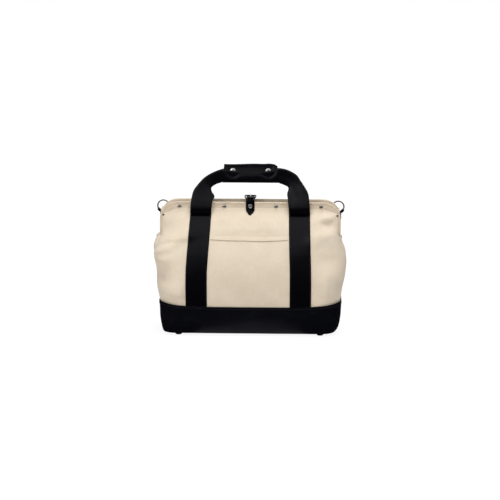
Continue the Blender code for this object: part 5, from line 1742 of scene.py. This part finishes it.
def back_strap_half(i, z):
    """Half width at the i-th place: pointed low on the back, rounded where it ends on the buckle."""
    if i < 6:
        return pointed(z, TIP_Z, TIP_Z + POINT) * 0.9
    round_end = 1 if i < 50 else sqrt(max(0.05, 1 - ((i - 49) / 7) ** 2))
    return (STRAP - STRAP_THICK) / 2 * round_end


flat = curve_through([(y, z, 0) for y, z in line], 56)
rows = strap_rows([(y, z) for y, z, _ in flat], back_strap_half)
mesh, size = rows_mesh("closing_strap", rows, closed=True, caps=True)
made = cut_slot(add_object("closing_strap", mesh, leather), (-SLOT_HALF, -HEEL + 0.0018, under - 0.004),
                (SLOT_HALF, FAR - 0.0026, over + 0.004))
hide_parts("billet_strap")
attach(made, "back_frame")
print("closing strap runs", round(size[1], 3), "m")

# %% [markdown]
# ## Buckle and prong
#
# The buckle is a closed loop of bent wire whose far bar stands higher than its heel, so that the
# strap can go under it. The prong is thinner wire, curled round the heel and laid on the far bar.
# Both are drawn as tubes along a smooth line.

# %% Buckle
BUCKLE_WIDTH = 0.0287
half_x = BUCKLE_WIDTH / 2 - WIRE
side_line = [(0.0082, -HEEL, HEEL_Z), (0.0096, -HEEL + 0.0004, HEEL_Z + 0.0012),
             (0.0108, -HEEL + 0.0016, HEEL_Z + 0.0040), (half_x, -HEEL + 0.0050, BAR_Z - 0.0008),
             (half_x, -HEEL + 0.0105, BAR_Z), (half_x, FAR - 0.0040, BAR_Z),
             (half_x - 0.0012, FAR - 0.0012, BAR_Z), (half_x - 0.0040, FAR, BAR_Z)]
side_line = curve_through(side_line, 26)
points = side_line + [(-x, y, z) for x, y, z in side_line[::-1]]
buckle = tube("wire_buckle", points, WIRE, black_steel, 14, closed=True)
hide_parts("buckle")
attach(buckle, "buckle_loop")

curl = WIRE + 0.0008
prong_line = [(0, -HEEL + curl * cos(t), HEEL_Z + curl * sin(t))
              for t in (-pi * 0.9 + pi * 1.4 * i / 8 for i in range(9))]
prong_line += [(0, -HEEL + 0.0075, HEEL_Z + 0.0080), (0, FAR - 0.0040, BAR_Z + 0.0027),
               (0, FAR + 0.0014, BAR_Z + 0.0030)]
prong = tube("wire_prong", curve_through(prong_line, 34), 0.00095, nickel, 10)
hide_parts("buckle_prong")
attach(prong, "buckle_tongue")
print("buckle's far bar stands", round((BAR_Z - HEEL_Z) * 1000, 1), "mm above its heel")

# %% [markdown]
# ## Corner rings
#
# A wire ring hangs in a clip at each upper corner of the back rim. The rings are tubes, and the
# clips stay as the CAD has them, with a small rolled eye added where the ring goes through.

# %% Rings
RING_RADIUS = 0.0138
EYE_PROFILE = ((0.0019, -0.0042), (0.0032, -0.0040), (0.0035, -0.0034), (0.0035, 0.0034),
               (0.0032, 0.0040), (0.0019, 0.0042))
for name, side in SIDES:
    low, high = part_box(name + "_ring")
    centre = (low + high) / 2
    points = [centre + Vector((RING_RADIUS * cos(2 * pi * i / 56), 0, RING_RADIUS * sin(2 * pi * i / 56)))
              for i in range(56)]
    made = tube(name + "_corner_wire", points, WIRE, dark_steel, 14, closed=True)
    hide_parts(name + "_ring")
    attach(made, name + "_corner_ring")
    eye = centre + Vector((side * RING_RADIUS * 0.72, 0, -RING_RADIUS * 0.69))
    made = turned(name + "_clip_eye", EYE_PROFILE, eye, (0.69, 0, side * 0.72), black_steel, 24)
    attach(made, "back_frame")
print("rings measure", round(RING_RADIUS * 2000, 1), "mm across the middle of the wire")

# %% [markdown]
# ## CAD pieces that stay
#
# The board, the steel bars, the snap studs and the ring clips are plain shapes, as good in the CAD
# as a new mesh would be. They only get a finish.

# %% Finishes of the CAD pieces that stay
kept = {"bottom_board": fibreboard, "front_frame_bar": mill_steel, "back_frame_bar": mill_steel,
        "left_snap_stud": nickel, "right_snap_stud": nickel, "left_ring_clip": black_steel,
        "right_ring_clip": black_steel}
for name, material in kept.items():
    data = nodes[name].data
    data.materials.clear()
    data.materials.append(material)
print("CAD pieces with a new finish:", len(kept))

# %% [markdown]

# %% [markdown]
